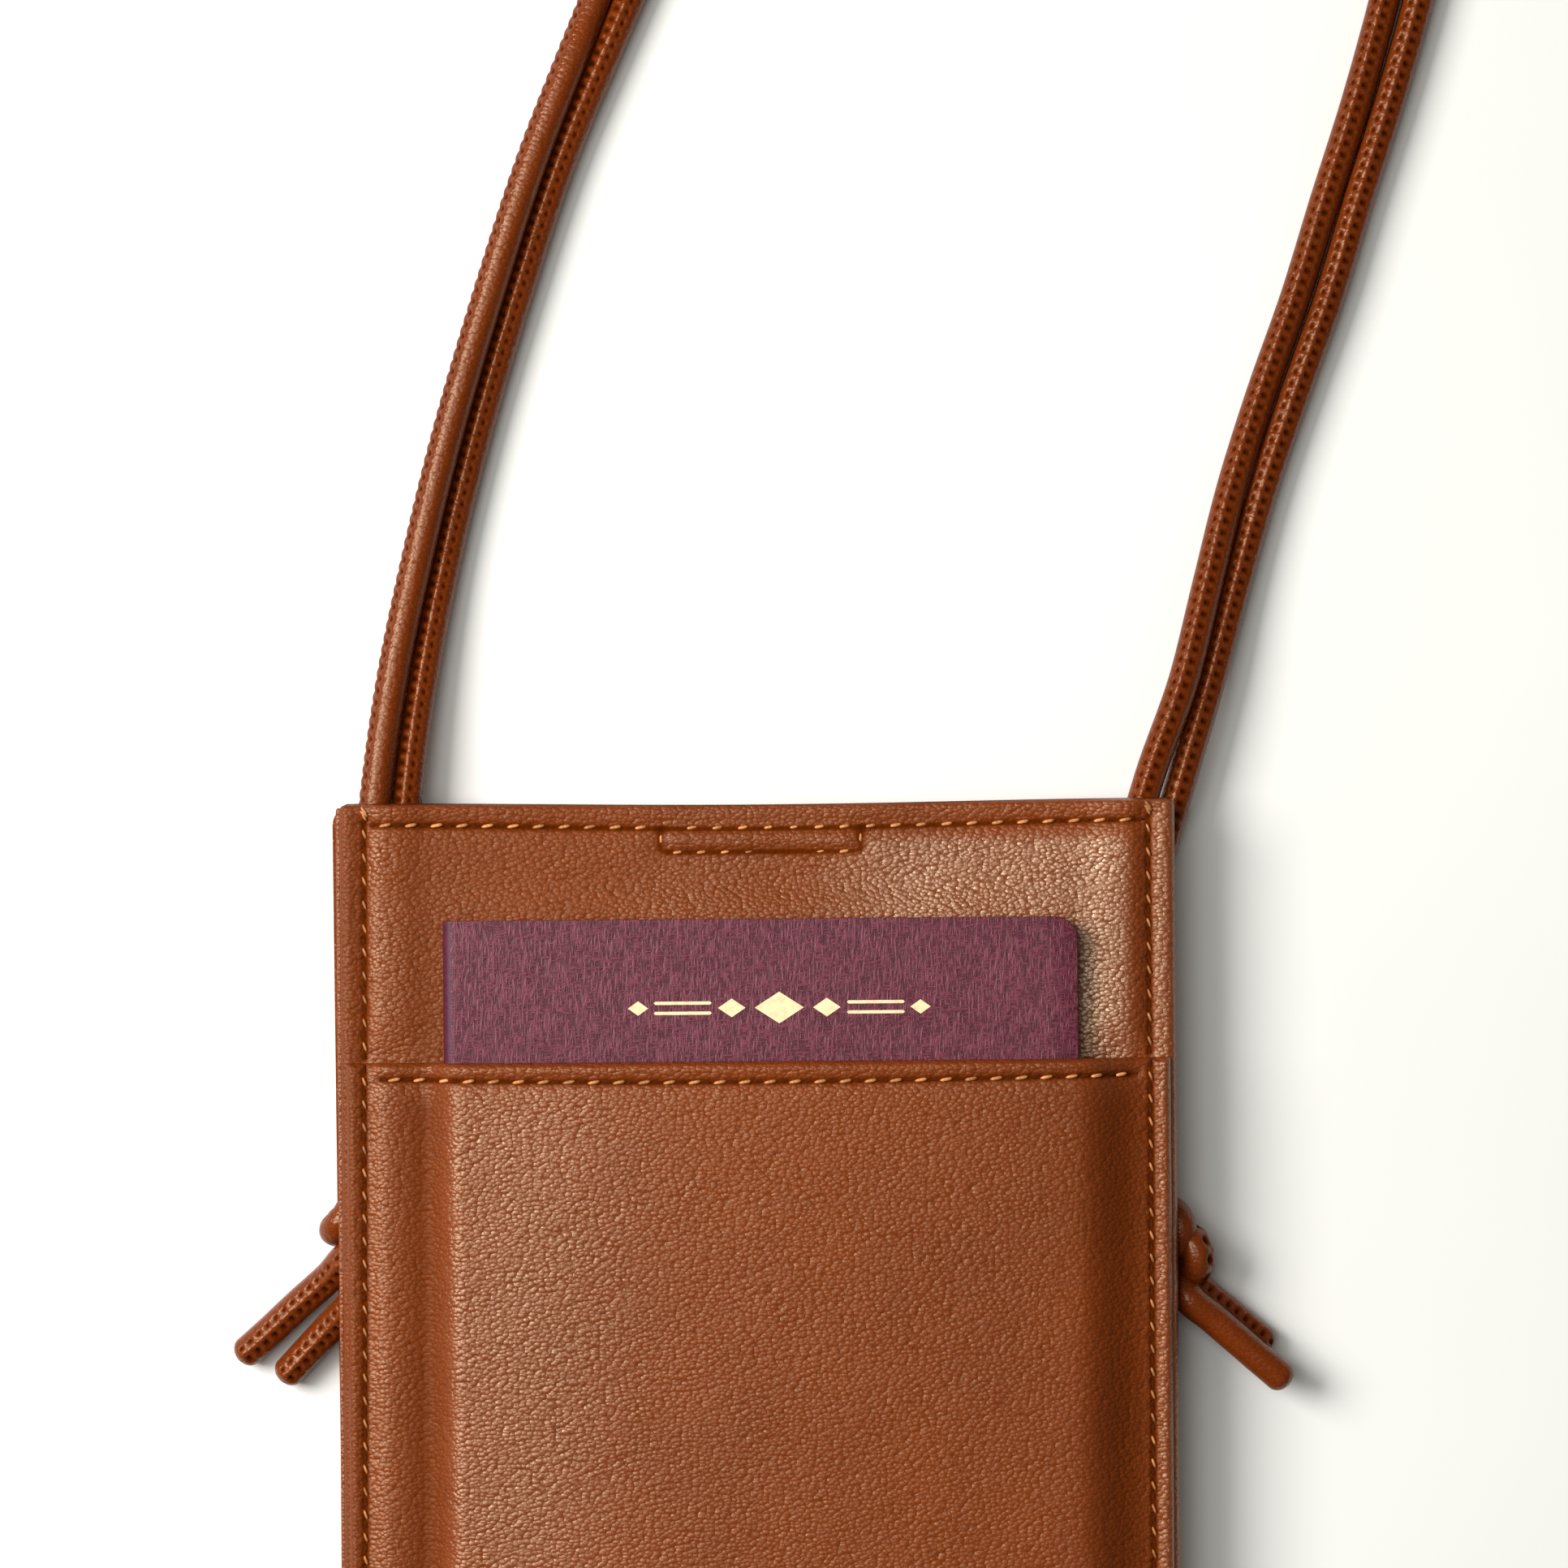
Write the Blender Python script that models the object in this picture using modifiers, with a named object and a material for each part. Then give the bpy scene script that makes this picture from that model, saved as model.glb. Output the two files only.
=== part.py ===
"""Neck pouch wallet: a flat leather pouch on a double round-cord neck strap.

The pouch lies on its back. +Y runs to its mouth, +X to its right side, +Z up through its front.
The origin is at the centre of its footprint, on the surface that it lies on.
All lengths are in metres.
"""
import math

import bmesh
import bpy
from mathutils import Vector
from mathutils.geometry import interpolate_bezier

OBJECT = "neck_pouch_wallet"

# ---- driving dimensions -------------------------------------------------------------------
WIDTH = 0.1174
HEIGHT = 0.156
LEATHER = 0.0011
GUSSET_LEATHER = 0.0006
BOARD = 0.0008
LINING = 0.0004
GAP = 0.0003
COMPARTMENT = 0.0060
GUSSET_DEPTH = 0.0127
CORNER = 0.0012

POCKET_TOP = 0.0419
BOOKLET_WIDTH = 0.088
BOOKLET_HEIGHT = 0.125
BOOKLET_THICK = 0.0030
BOOKLET_COVER = 0.00045
BOOKLET_LEFT = -0.0434
BOOKLET_TOP = 0.0616
BOOKLET_CORNER = 0.0032

SEAM_ALLOWANCE = 0.0045
RAMP_STEPS = 5

MAGNET = (0.0260, 0.0034, BOARD)
MAGNET_DOWN = 0.0056

KEEPER_BAND = 0.0008
KEEPER_CLEAR = 0.0005
KEEPER_LENGTH = 0.0080
KEEPER_DROP = 0.0030

CORD = 0.0042
CORD_SPACING = 0.0046
COIL_CENTRE = (0.034, 0.250)
COIL_INNER = 0.0102
COIL_OUTER = 0.0378
COIL_BASE = 0.0010
COIL_TOP = 0.0102
TIE_BAND = 0.0007
TIE_WIDTH = 0.0060
TIE_CLEAR = 0.0002

# ---- heights of the layers, worked out from the floor up ----------------------------------
TOP = HEIGHT / 2
BACK_HALF = WIDTH / 2
FRONT_HALF = BACK_HALF - 0.0008
BACK_GUSSET_Z = LEATHER + GAP
BACK_BOARD_Z = LEATHER + GAP
BACK_LINING_Z = BACK_BOARD_Z + BOARD + GAP
FRONT_LINING_Z = BACK_LINING_Z + LINING + COMPARTMENT
FRONT_BOARD_Z = FRONT_LINING_Z + LINING + GAP
FRONT_PANEL_Z = FRONT_BOARD_Z + BOARD + GAP
FRONT_Z = FRONT_PANEL_Z + LEATHER
POCKET_Z = FRONT_Z + GAP
POCKET_RISE = BOOKLET_THICK + GAP
MIDDLE_Z = FRONT_Z / 2
FOLD_Y = -TOP + FRONT_Z / 2
PANEL_BOTTOM = FOLD_Y + GAP
GUSSET_OUT = BACK_HALF - 0.0005
GUSSET_IN = GUSSET_OUT - GUSSET_DEPTH
LINING_HALF = GUSSET_IN - GAP
LINING_BOTTOM = PANEL_BOTTOM + 0.003
HEM_DOWN = 0.0012

# ---- strap: hand-chosen route of each cord, from its knot to the coil -----------------------
LEFT_OUTER = [
    (-0.0546, 0.0240, 0.0059),
    (-0.0546, 0.0400, 0.0059),
    (-0.0545, 0.0600, 0.0062),
    (-0.0529, 0.0790, 0.0066),
    (-0.0503, 0.0966, 0.0056),
    (-0.0471, 0.1116, 0.0049),
    (-0.0434, 0.1266, 0.0047),
    (-0.0367, 0.1492, 0.0047),
    (-0.0299, 0.1695, 0.0045),
    (-0.0245, 0.1831, 0.0038),
    (-0.0218, 0.1899, 0.0028),
    (-0.0160, 0.2050, 0.0022),
    (-0.0104, 0.2200, 0.0023),
    (-0.0058, 0.2330, 0.0028),
]
LEFT_INNER = [
    (-0.0500, 0.0240, 0.0059),
    (-0.0500, 0.0400, 0.0058),
    (-0.0498, 0.0600, 0.0054),
    (-0.0487, 0.0790, 0.0051),
    (-0.0462, 0.0965, 0.0036),
    (-0.0432, 0.1115, 0.0025),
    (-0.0395, 0.1266, 0.0022),
    (-0.0328, 0.1492, 0.0022),
    (-0.0259, 0.1695, 0.0022),
    (-0.0201, 0.1831, 0.0022),
    (-0.0171, 0.1899, 0.0022),
    (-0.0113, 0.2040, 0.0022),
    (-0.0059, 0.2185, 0.0023),
    (-0.0023, 0.2290, 0.0027),
]
RIGHT_INNER = [
    (0.0500, 0.0240, 0.0059),
    (0.0500, 0.0400, 0.0059),
    (0.0508, 0.0560, 0.0062),
    (0.0526, 0.0710, 0.0067),
    (0.0553, 0.0806, 0.0068),
    (0.0602, 0.0941, 0.0064),
    (0.0638, 0.1077, 0.0049),
    (0.0674, 0.1213, 0.0035),
    (0.0718, 0.1348, 0.0024),
    (0.0767, 0.1483, 0.0022),
    (0.0810, 0.1619, 0.0022),
    (0.0854, 0.1754, 0.0022),
    (0.0893, 0.1890, 0.0022),
    (0.0948, 0.2120, 0.0022),
    (0.0970, 0.2330, 0.0022),
    (0.0922, 0.2530, 0.0024),
    (0.0790, 0.2700, 0.0035),
    (0.0655, 0.2771, 0.0058),
]
RIGHT_OUTER = [
    (0.0546, 0.0240, 0.0059),
    (0.0546, 0.0400, 0.0058),
    (0.0553, 0.0560, 0.0055),
    (0.0570, 0.0700, 0.0050),
    (0.0600, 0.0806, 0.0048),
    (0.0641, 0.0941, 0.0040),
    (0.0679, 0.1077, 0.0028),
    (0.0719, 0.1213, 0.0023),
    (0.0766, 0.1348, 0.0022),
    (0.0815, 0.1483, 0.0022),
    (0.0857, 0.1619, 0.0022),
    (0.0901, 0.1754, 0.0022),
    (0.0941, 0.1890, 0.0022),
    (0.0994, 0.2115, 0.0022),
    (0.1016, 0.2335, 0.0022),
    (0.0962, 0.2555, 0.0024),
    (0.0815, 0.2742, 0.0035),
    (0.0667, 0.2820, 0.0058),
]
POINTS_PER_LEG = 2

# ---- knots and tails: centre and half sizes of each knot, ends of each tail -----------------
KNOTS = {
    "strap_knot_left": ((-0.0555, 0.0155, 0.0059), (0.0063, 0.0080, 0.0037)),
    "strap_knot_right": ((0.0573, 0.0155, 0.0059), (0.0068, 0.0080, 0.0037)),
}
TAILS = {
    "strap_tail_left_upper": [(-0.0634, 0.0093, 0.0046), (-0.0680, 0.0047, 0.0030), (-0.0716, 0.0011, 0.0022)],
    "strap_tail_left_lower": [(-0.0600, 0.0050, 0.0044), (-0.0632, 0.0013, 0.0030), (-0.0661, -0.0020, 0.0022)],
    "strap_tail_right_upper": [(0.0630, 0.0055, 0.0064), (0.0680, 0.0011, 0.0058), (0.0730, -0.0034, 0.0048)],
    "strap_tail_right_lower": [(0.0657, 0.0087, 0.0040), (0.0690, 0.0054, 0.0030), (0.0723, 0.0021, 0.0022)],
}

# ---- colours: base colour, roughness, metallic -----------------------------------------------
FINISHES = {
    "leather": ((0.27, 0.075, 0.026, 1.0), 0.45, 0.0),
    "cord_leather": ((0.25, 0.070, 0.026, 1.0), 0.45, 0.0),
    "lining_cloth": ((0.16, 0.085, 0.050, 1.0), 0.85, 0.0),
    "board": ((0.35, 0.27, 0.18, 1.0), 0.9, 0.0),
    "magnet": ((0.45, 0.45, 0.46, 1.0), 0.35, 1.0),
    "booklet_cover": ((0.16, 0.035, 0.055, 1.0), 0.6, 0.0),
    "pages": ((0.82, 0.79, 0.72, 1.0), 0.8, 0.0),
    "tie": ((0.05, 0.04, 0.035, 1.0), 0.8, 0.0),
}


def clear_scene():
    """Remove whatever objects the file opened with."""
    for old in list(bpy.data.objects):
        bpy.data.objects.remove(old, do_unlink=True)


def collection(name):
    """A new collection linked to the scene."""
    made = bpy.data.collections.new(name)
    bpy.context.scene.collection.children.link(made)
    return made


def material(slot, name):
    """A Principled material in one of the finishes, named for its sub-part."""
    colour, roughness, metallic = FINISHES[slot]
    made = bpy.data.materials.new(f"{name}_{slot}")
    made.use_nodes = True
    shader = made.node_tree.nodes["Principled BSDF"]
    shader.inputs["Base Color"].default_value = colour
    shader.inputs["Roughness"].default_value = roughness
    shader.inputs["Metallic"].default_value = metallic
    return made


def add(name, mesh, slot, parent=None):
    """Put a mesh in the parts collection as a named sub-part, about its parent's place."""
    obj = bpy.data.objects.new(name, mesh)
    obj.data.materials.append(material(slot, name))
    PARTS.objects.link(obj)
    if parent is not None:
        mesh.transform(parent.matrix_world.inverted())
        obj.parent = parent
    return obj


def empty(name, place, parent=None):
    """An empty that marks a joint's axis and carries the pieces that move on it."""
    made = bpy.data.objects.new(name, None)
    made.location = place
    if parent is not None:
        made.parent = parent
        made.location = Vector(place) - parent.location
    PARTS.objects.link(made)
    bpy.context.view_layer.update()
    return made


def box_mesh(name, low, high, corner=0.0, round_where=None):
    """A box between two corners, with its upright edges rounded where asked."""
    bm = bmesh.new()
    bmesh.ops.create_cube(bm, size=1.0)
    for vert in bm.verts:
        for axis in range(3):
            vert.co[axis] = low[axis] + (vert.co[axis] + 0.5) * (high[axis] - low[axis])
    if corner:
        upright = [e for e in bm.edges if abs(e.verts[0].co.z - e.verts[1].co.z) > 1e-6]
        if round_where:
            upright = [e for e in upright if round_where(e.verts[0].co)]
        bmesh.ops.bevel(bm, geom=upright, offset=corner, segments=3, profile=0.5, affect="EDGES")
    mesh = bpy.data.meshes.new(name)
    bm.to_mesh(mesh)
    bm.free()
    return mesh


def plate(name, half_width, bottom, top, z, thick, slot, parent=None, corner=CORNER):
    """A flat layer of the pouch, centred across, from one height to another."""
    mesh = box_mesh(name, (-half_width, bottom, z), (half_width, top, z + thick), corner)
    return add(name, mesh, slot, parent)


def cut(obj, name, low, high):
    """Cut a box out of a sub-part with a Boolean."""
    cutter = bpy.data.objects.new(name, box_mesh(name, low, high))
    cutter.hide_render = True
    cutter.display_type = "WIRE"
    CUTTERS.objects.link(cutter)
    boolean = obj.modifiers.new(name, "BOOLEAN")
    boolean.operation = "DIFFERENCE"
    boolean.solver = "EXACT"
    boolean.object = cutter


def strip_shell(name, outline, start, end, thick, slot, parent=None):
    """A strip bent along an open outline in the YZ or XZ plane, run from start to end, solidified."""
    bm = bmesh.new()
    run = Vector(end) - Vector(start)
    first = [bm.verts.new(Vector(start) + Vector(p)) for p in outline]
    edges = [bm.edges.new(pair) for pair in zip(first, first[1:])]
    swept = bmesh.ops.extrude_edge_only(bm, edges=edges)
    moved = [v for v in swept["geom"] if isinstance(v, bmesh.types.BMVert)]
    bmesh.ops.translate(bm, verts=moved, vec=run)
    mesh = bpy.data.meshes.new(name)
    bm.to_mesh(mesh)
    bm.free()
    obj = add(name, mesh, slot, parent)
    solid = obj.modifiers.new("thickness", "SOLIDIFY")
    solid.thickness = thick
    solid.offset = -1.0
    return obj


def arc(radius, start_deg, end_deg, steps, plane):
    """Points on an arc about the origin, in the XZ or the YZ plane, counted from the first axis."""
    points = []
    for n in range(steps + 1):
        angle = math.radians(start_deg + (end_deg - start_deg) * n / steps)
        across, up = radius * math.cos(angle), radius * math.sin(angle)
        points.append((across, 0.0, up) if plane == "XZ" else (0.0, across, up))
    return points


def smooth_line(route, per_leg):
    """Points read from a smooth curve through a route's points."""
    points = [Vector(p) for p in route]
    last = len(points) - 1
    slopes = [points[min(n + 1, last)] - points[max(n - 1, 0)] for n in range(last + 1)]
    line = [points[0]]
    for n in range(last):
        reach = (points[n + 1] - points[n]).length / 3
        near = points[n] + slopes[n].normalized() * reach
        far = points[n + 1] - slopes[n + 1].normalized() * reach
        line += interpolate_bezier(points[n], near, far, points[n + 1], per_leg + 1)[1:]
    return line


def tube(name, line, slot):
    """A round cord along a line, closed by its end caps."""
    curve = bpy.data.curves.new(name, "CURVE")
    curve.dimensions = "3D"
    curve.bevel_depth = CORD / 2
    curve.bevel_resolution = 3
    curve.use_fill_caps = True
    spline = curve.splines.new("POLY")
    spline.points.add(len(line) - 1)
    for point, place in zip(spline.points, line):
        point.co = (*place, 1.0)
    obj = bpy.data.objects.new(name, curve)
    curve.materials.append(material(slot, name))
    PARTS.objects.link(obj)
    return obj


def back_wall():
    """Leather, board, magnet and lining of the wall that lies on the table."""
    plate("back_panel", BACK_HALF, PANEL_BOTTOM, TOP, 0.0, LEATHER, "leather")
    board = plate("back_stiffener", LINING_HALF, LINING_BOTTOM, TOP - HEM_DOWN, BACK_BOARD_Z, BOARD, "board")
    magnet_window(board, BACK_BOARD_Z)
    magnet("back_magnet", BACK_BOARD_Z, None)
    plate("back_lining", LINING_HALF, LINING_BOTTOM, TOP - HEM_DOWN, BACK_LINING_Z, LINING, "lining_cloth")


def magnet_window(board, z):
    """Cut the window that a bar magnet lies in, through a board."""
    half = MAGNET[0] / 2 + GAP
    low = (-half, TOP - MAGNET_DOWN - MAGNET[1] / 2 - GAP, z - GAP)
    high = (half, TOP - MAGNET_DOWN + MAGNET[1] / 2 + GAP, z + BOARD + GAP)
    cut(board, f"{board.name}_window", low, high)


def magnet(name, z, parent):
    """A slim bar magnet with rounded ends, level with its board."""
    low = (-MAGNET[0] / 2, TOP - MAGNET_DOWN - MAGNET[1] / 2, z)
    high = (MAGNET[0] / 2, TOP - MAGNET_DOWN + MAGNET[1] / 2, z + MAGNET[2])
    add(name, box_mesh(name, low, high, MAGNET[1] / 3), "magnet", parent)


def front_wall(hinge):
    """Leather, board, magnet and lining of the wall that swings open."""
    plate("front_panel", FRONT_HALF, PANEL_BOTTOM, TOP, FRONT_PANEL_Z, LEATHER, "leather", hinge)
    board = plate("front_stiffener", LINING_HALF, LINING_BOTTOM, TOP - HEM_DOWN, FRONT_BOARD_Z, BOARD, "board", hinge)
    magnet_window(board, FRONT_BOARD_Z)
    magnet("front_magnet", FRONT_BOARD_Z, hinge)
    plate("front_lining", LINING_HALF, LINING_BOTTOM, TOP - HEM_DOWN, FRONT_LINING_Z, LINING, "lining_cloth", hinge)


def bottom_fold():
    """The half-round fold that carries the leather from the back wall round to the front wall."""
    outline = arc(MIDDLE_Z, 270, 90, 12, "YZ")
    start = (-FRONT_HALF, FOLD_Y, MIDDLE_Z)
    end = (FRONT_HALF, FOLD_Y, MIDDLE_Z)
    strip_shell("bottom_fold", outline, start, end, LEATHER, "leather")


def gussets():
    """Two channels folded inwards between the walls, open to the sides."""
    for side, name in ((-1, "gusset_left"), (1, "gusset_right")):
        across = sorted((side * GUSSET_IN, side * GUSSET_OUT))
        top_z = FRONT_PANEL_Z - GAP
        mesh = box_mesh(name, (across[0], PANEL_BOTTOM, BACK_GUSSET_Z), (across[1], TOP, top_z))
        channel = add(name, mesh, "leather")
        hollow = sorted((side * (GUSSET_IN + GUSSET_LEATHER), side * (GUSSET_OUT + LEATHER)))
        low = (hollow[0], PANEL_BOTTOM - LEATHER, BACK_GUSSET_Z + GUSSET_LEATHER)
        high = (hollow[1], TOP + LEATHER, top_z - GUSSET_LEATHER)
        cut(channel, f"{name}_groove", low, high)


def eased(t):
    """0 to 1 with a soft start and end, for a ramp in the leather."""
    t = min(max(t, 0.0), 1.0)
    return t * t * (3 - 2 * t)


def pocket_panel(hinge):
    """The slip pocket's leather, which lies on the front wall at its edges and rises over the booklet."""
    ramp_out = FRONT_HALF - SEAM_ALLOWANCE
    ramp_in = BOOKLET_LEFT + BOOKLET_WIDTH + 0.0016
    ramp_low = PANEL_BOTTOM + 0.0015
    ramp_high = BOOKLET_TOP - BOOKLET_HEIGHT - 0.0008
    steps = [n / RAMP_STEPS for n in range(RAMP_STEPS + 1)]
    columns = [-FRONT_HALF] + [-ramp_out + (ramp_out - ramp_in) * t for t in steps] + [0.0]
    columns += [-x for x in reversed(columns[:-1])]
    rows = [PANEL_BOTTOM] + [ramp_low + (ramp_high - ramp_low) * t for t in steps] + [POCKET_TOP]
    bm = bmesh.new()
    bmesh.ops.create_grid(bm, x_segments=len(columns) - 1, y_segments=len(rows) - 1, size=1.0)
    for vert in bm.verts:
        column = round((vert.co.x + 1) / 2 * (len(columns) - 1))
        row = round((vert.co.y + 1) / 2 * (len(rows) - 1))
        x, y = columns[column], rows[row]
        across = eased((ramp_out - abs(x)) / (ramp_out - ramp_in))
        along = eased((y - ramp_low) / (ramp_high - ramp_low))
        vert.co = (x, y, POCKET_Z + POCKET_RISE * across * along)
    mesh = bpy.data.meshes.new("pocket_panel")
    bm.to_mesh(mesh)
    bm.free()
    obj = add("pocket_panel", mesh, "leather", hinge)
    solid = obj.modifiers.new("thickness", "SOLIDIFY")
    solid.thickness = LEATHER
    solid.offset = 1.0


def booklet(slide):
    """A closed booklet: two covers, a page block and the spine that joins the covers."""
    right = BOOKLET_LEFT + BOOKLET_WIDTH
    bottom = BOOKLET_TOP - BOOKLET_HEIGHT
    spine_radius = BOOKLET_THICK / 2
    cover_left = BOOKLET_LEFT + spine_radius + GAP
    top_z = POCKET_Z + BOOKLET_THICK
    for name, z in (("booklet_back_cover", POCKET_Z), ("booklet_front_cover", top_z - BOOKLET_COVER)):
        low = (cover_left, bottom, z)
        high = (right, BOOKLET_TOP, z + BOOKLET_COVER)
        mesh = box_mesh(name, low, high, BOOKLET_CORNER, lambda co: co.x > 0)
        add(name, mesh, "booklet_cover", slide)
    inset = 0.0010
    page_low = (cover_left, bottom + inset, POCKET_Z + BOOKLET_COVER + GAP)
    page_high = (right - inset, BOOKLET_TOP - inset, top_z - BOOKLET_COVER - GAP)
    pages = box_mesh("booklet_pages", page_low, page_high, BOOKLET_CORNER - inset, lambda co: co.x > 0)
    add("booklet_pages", pages, "pages", slide)
    outline = arc(spine_radius, 90, 270, 8, "XZ")
    start = (BOOKLET_LEFT + spine_radius, bottom, POCKET_Z + spine_radius)
    end = (BOOKLET_LEFT + spine_radius, BOOKLET_TOP, POCKET_Z + spine_radius)
    strip_shell("booklet_spine", outline, start, end, BOOKLET_COVER, "booklet_cover", slide)


def keepers():
    """A leather loop in each groove, round the two cords."""
    down = LEFT_OUTER[0][1] + KEEPER_DROP
    half_x = (CORD_SPACING + CORD) / 2 + KEEPER_CLEAR
    half_z = CORD / 2 + KEEPER_CLEAR
    band = KEEPER_BAND
    for side, name in ((-1, "keeper_left"), (1, "keeper_right")):
        x = side * (abs(LEFT_OUTER[0][0]) + abs(LEFT_INNER[0][0])) / 2
        low = (x - half_x - band, down, MIDDLE_Z - half_z - band)
        high = (x + half_x + band, down + KEEPER_LENGTH, MIDDLE_Z + half_z + band)
        loop = add(name, box_mesh(name, low, high), "leather")
        hole_low = (x - half_x, down - band, MIDDLE_Z - half_z)
        hole_high = (x + half_x, down + KEEPER_LENGTH + band, MIDDLE_Z + half_z)
        cut(loop, f"{name}_hole", hole_low, hole_high)


def strap():
    """Cord leads, knots and tails of the neck strap."""
    leads = {
        "strap_cord_left_outer": LEFT_OUTER,
        "strap_cord_left_inner": LEFT_INNER,
        "strap_cord_right_inner": RIGHT_INNER,
        "strap_cord_right_outer": RIGHT_OUTER,
    }
    for name, route in leads.items():
        tube(name, smooth_line(route, POINTS_PER_LEG), "cord_leather")
    for name, (centre, half) in KNOTS.items():
        bm = bmesh.new()
        bmesh.ops.create_uvsphere(bm, u_segments=16, v_segments=8, radius=1.0)
        bmesh.ops.scale(bm, vec=half, verts=bm.verts)
        mesh = bpy.data.meshes.new(name)
        bm.to_mesh(mesh)
        bm.free()
        mesh.shade_smooth()
        knot = add(name, mesh, "cord_leather")
        knot.location = centre
    for name, route in TAILS.items():
        tube(name, smooth_line(route, POINTS_PER_LEG), "cord_leather")


def coil():
    """The stored length of the strap as one turned ring."""
    corner = (COIL_TOP - COIL_BASE) / 4
    inner, outer, low, high = COIL_INNER, COIL_OUTER, COIL_BASE, COIL_TOP
    profile = [
        (outer - corner, high),
        (outer, high - corner),
        (outer, low + corner),
        (outer - corner, low),
        (inner + corner, low),
        (inner, low + corner),
        (inner, high - corner),
        (inner + corner, high),
    ]
    bm = bmesh.new()
    verts = [bm.verts.new((r, 0.0, z)) for r, z in profile]
    for pair in zip(verts, verts[1:] + verts[:1]):
        bm.edges.new(pair)
    mesh = bpy.data.meshes.new("strap_coil")
    bm.to_mesh(mesh)
    bm.free()
    ring = add("strap_coil", mesh, "cord_leather")
    ring.location = (*COIL_CENTRE, 0.0)
    screw = ring.modifiers.new("turn", "SCREW")
    screw.steps = 40
    screw.render_steps = 40
    screw.use_merge_vertices = True
    screw.merge_threshold = 0.0001


def coil_tie():
    """A flat band round the coil's ring, on the side towards the pouch."""
    x, y = COIL_CENTRE
    near = y - COIL_OUTER - TIE_CLEAR
    far = y - math.sqrt(COIL_INNER**2 - (TIE_WIDTH / 2) ** 2) + TIE_CLEAR
    base, top = COIL_BASE - TIE_CLEAR, COIL_TOP + TIE_CLEAR
    low = (x - TIE_WIDTH / 2, near - TIE_BAND, base - TIE_BAND)
    high = (x + TIE_WIDTH / 2, far + TIE_BAND, top + TIE_BAND)
    tie = add("coil_tie", box_mesh("coil_tie", low, high), "tie")
    cut(tie, "coil_tie_hole", (x - TIE_WIDTH, near, base), (x + TIE_WIDTH, far, top))


clear_scene()
PARTS = collection(OBJECT)
CUTTERS = collection(f"{OBJECT}_cutters")
mouth_hinge = empty("mouth_hinge", (0.0, FOLD_Y, MIDDLE_Z))
booklet_slide = empty("booklet_slide", (BOOKLET_LEFT + BOOKLET_WIDTH / 2, BOOKLET_TOP, POCKET_Z), mouth_hinge)
back_wall()
bottom_fold()
gussets()
front_wall(mouth_hinge)
pocket_panel(mouth_hinge)
booklet(booklet_slide)
keepers()
strap()
coil()
coil_tie()
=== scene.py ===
import math

import bmesh
import bpy
import numpy as np
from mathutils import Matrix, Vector


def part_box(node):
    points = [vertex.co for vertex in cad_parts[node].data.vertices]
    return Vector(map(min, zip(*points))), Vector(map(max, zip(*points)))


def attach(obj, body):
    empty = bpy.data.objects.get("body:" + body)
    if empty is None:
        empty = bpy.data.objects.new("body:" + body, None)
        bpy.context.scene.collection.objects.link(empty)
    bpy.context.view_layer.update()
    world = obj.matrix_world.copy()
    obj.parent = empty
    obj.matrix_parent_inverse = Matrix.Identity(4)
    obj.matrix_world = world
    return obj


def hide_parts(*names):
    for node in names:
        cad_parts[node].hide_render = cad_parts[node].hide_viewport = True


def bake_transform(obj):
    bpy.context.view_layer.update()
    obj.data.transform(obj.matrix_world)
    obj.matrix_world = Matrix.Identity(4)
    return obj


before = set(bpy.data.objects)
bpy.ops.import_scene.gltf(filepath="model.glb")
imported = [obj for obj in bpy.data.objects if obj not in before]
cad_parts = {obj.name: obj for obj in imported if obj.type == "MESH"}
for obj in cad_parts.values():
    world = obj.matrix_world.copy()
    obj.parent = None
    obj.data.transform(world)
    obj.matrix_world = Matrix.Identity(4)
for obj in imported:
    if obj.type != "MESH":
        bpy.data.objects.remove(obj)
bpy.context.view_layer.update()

# ---- camera and light -----------------------------------------------------------------------
CAMERA_PLACE = (0.0042, 0.0803, 0.9100)
CAMERA_TURN = math.radians(-0.45)
SHARP_HEIGHT = 0.0100
VIEW_WIDTH = 0.2188
SENSOR_MM = 36.0
KEY_PLACE = (-0.64, 0.26, 0.68)
KEY_SIZE = 0.50
KEY_POWER = 13.4
WINDOW_PLACE = (-0.20, 0.16, 0.94)
WINDOW_SIZE = 0.45
WINDOW_POWER = 2.9
SURROUND = 0.17
LIGHT_AIM = (0.0, 0.05, 0.0)
FLOOR_REACH = 3.0
FLOOR_DOWN = 0.0002

# ---- strap: route of each cord, from its knot to the coil ---------------------------------------
CORD = 0.0044
CORD_SPACING = 0.0046
COIL_CENTRE = (0.034, 0.250)
LEFT_OUTER = [
    (-0.0546, 0.0240, 0.0059), (-0.0546, 0.0400, 0.0059), (-0.0545, 0.0600, 0.0062),
    (-0.0529, 0.0790, 0.0066), (-0.0503, 0.0966, 0.0056), (-0.0471, 0.1116, 0.0049),
    (-0.0434, 0.1266, 0.0047), (-0.0367, 0.1492, 0.0047), (-0.0299, 0.1695, 0.0045),
    (-0.0245, 0.1831, 0.0038), (-0.0218, 0.1899, 0.0028), (-0.0160, 0.2050, 0.0022),
    (-0.0104, 0.2200, 0.0023), (-0.0058, 0.2330, 0.0028),
]
LEFT_INNER = [
    (-0.0500, 0.0240, 0.0059), (-0.0500, 0.0400, 0.0058), (-0.0498, 0.0600, 0.0054),
    (-0.0487, 0.0790, 0.0051), (-0.0462, 0.0965, 0.0036), (-0.0432, 0.1115, 0.0025),
    (-0.0395, 0.1266, 0.0022), (-0.0328, 0.1492, 0.0022), (-0.0259, 0.1695, 0.0022),
    (-0.0201, 0.1831, 0.0022), (-0.0171, 0.1899, 0.0022), (-0.0113, 0.2040, 0.0022),
    (-0.0059, 0.2185, 0.0023), (-0.0023, 0.2290, 0.0027),
]
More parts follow.
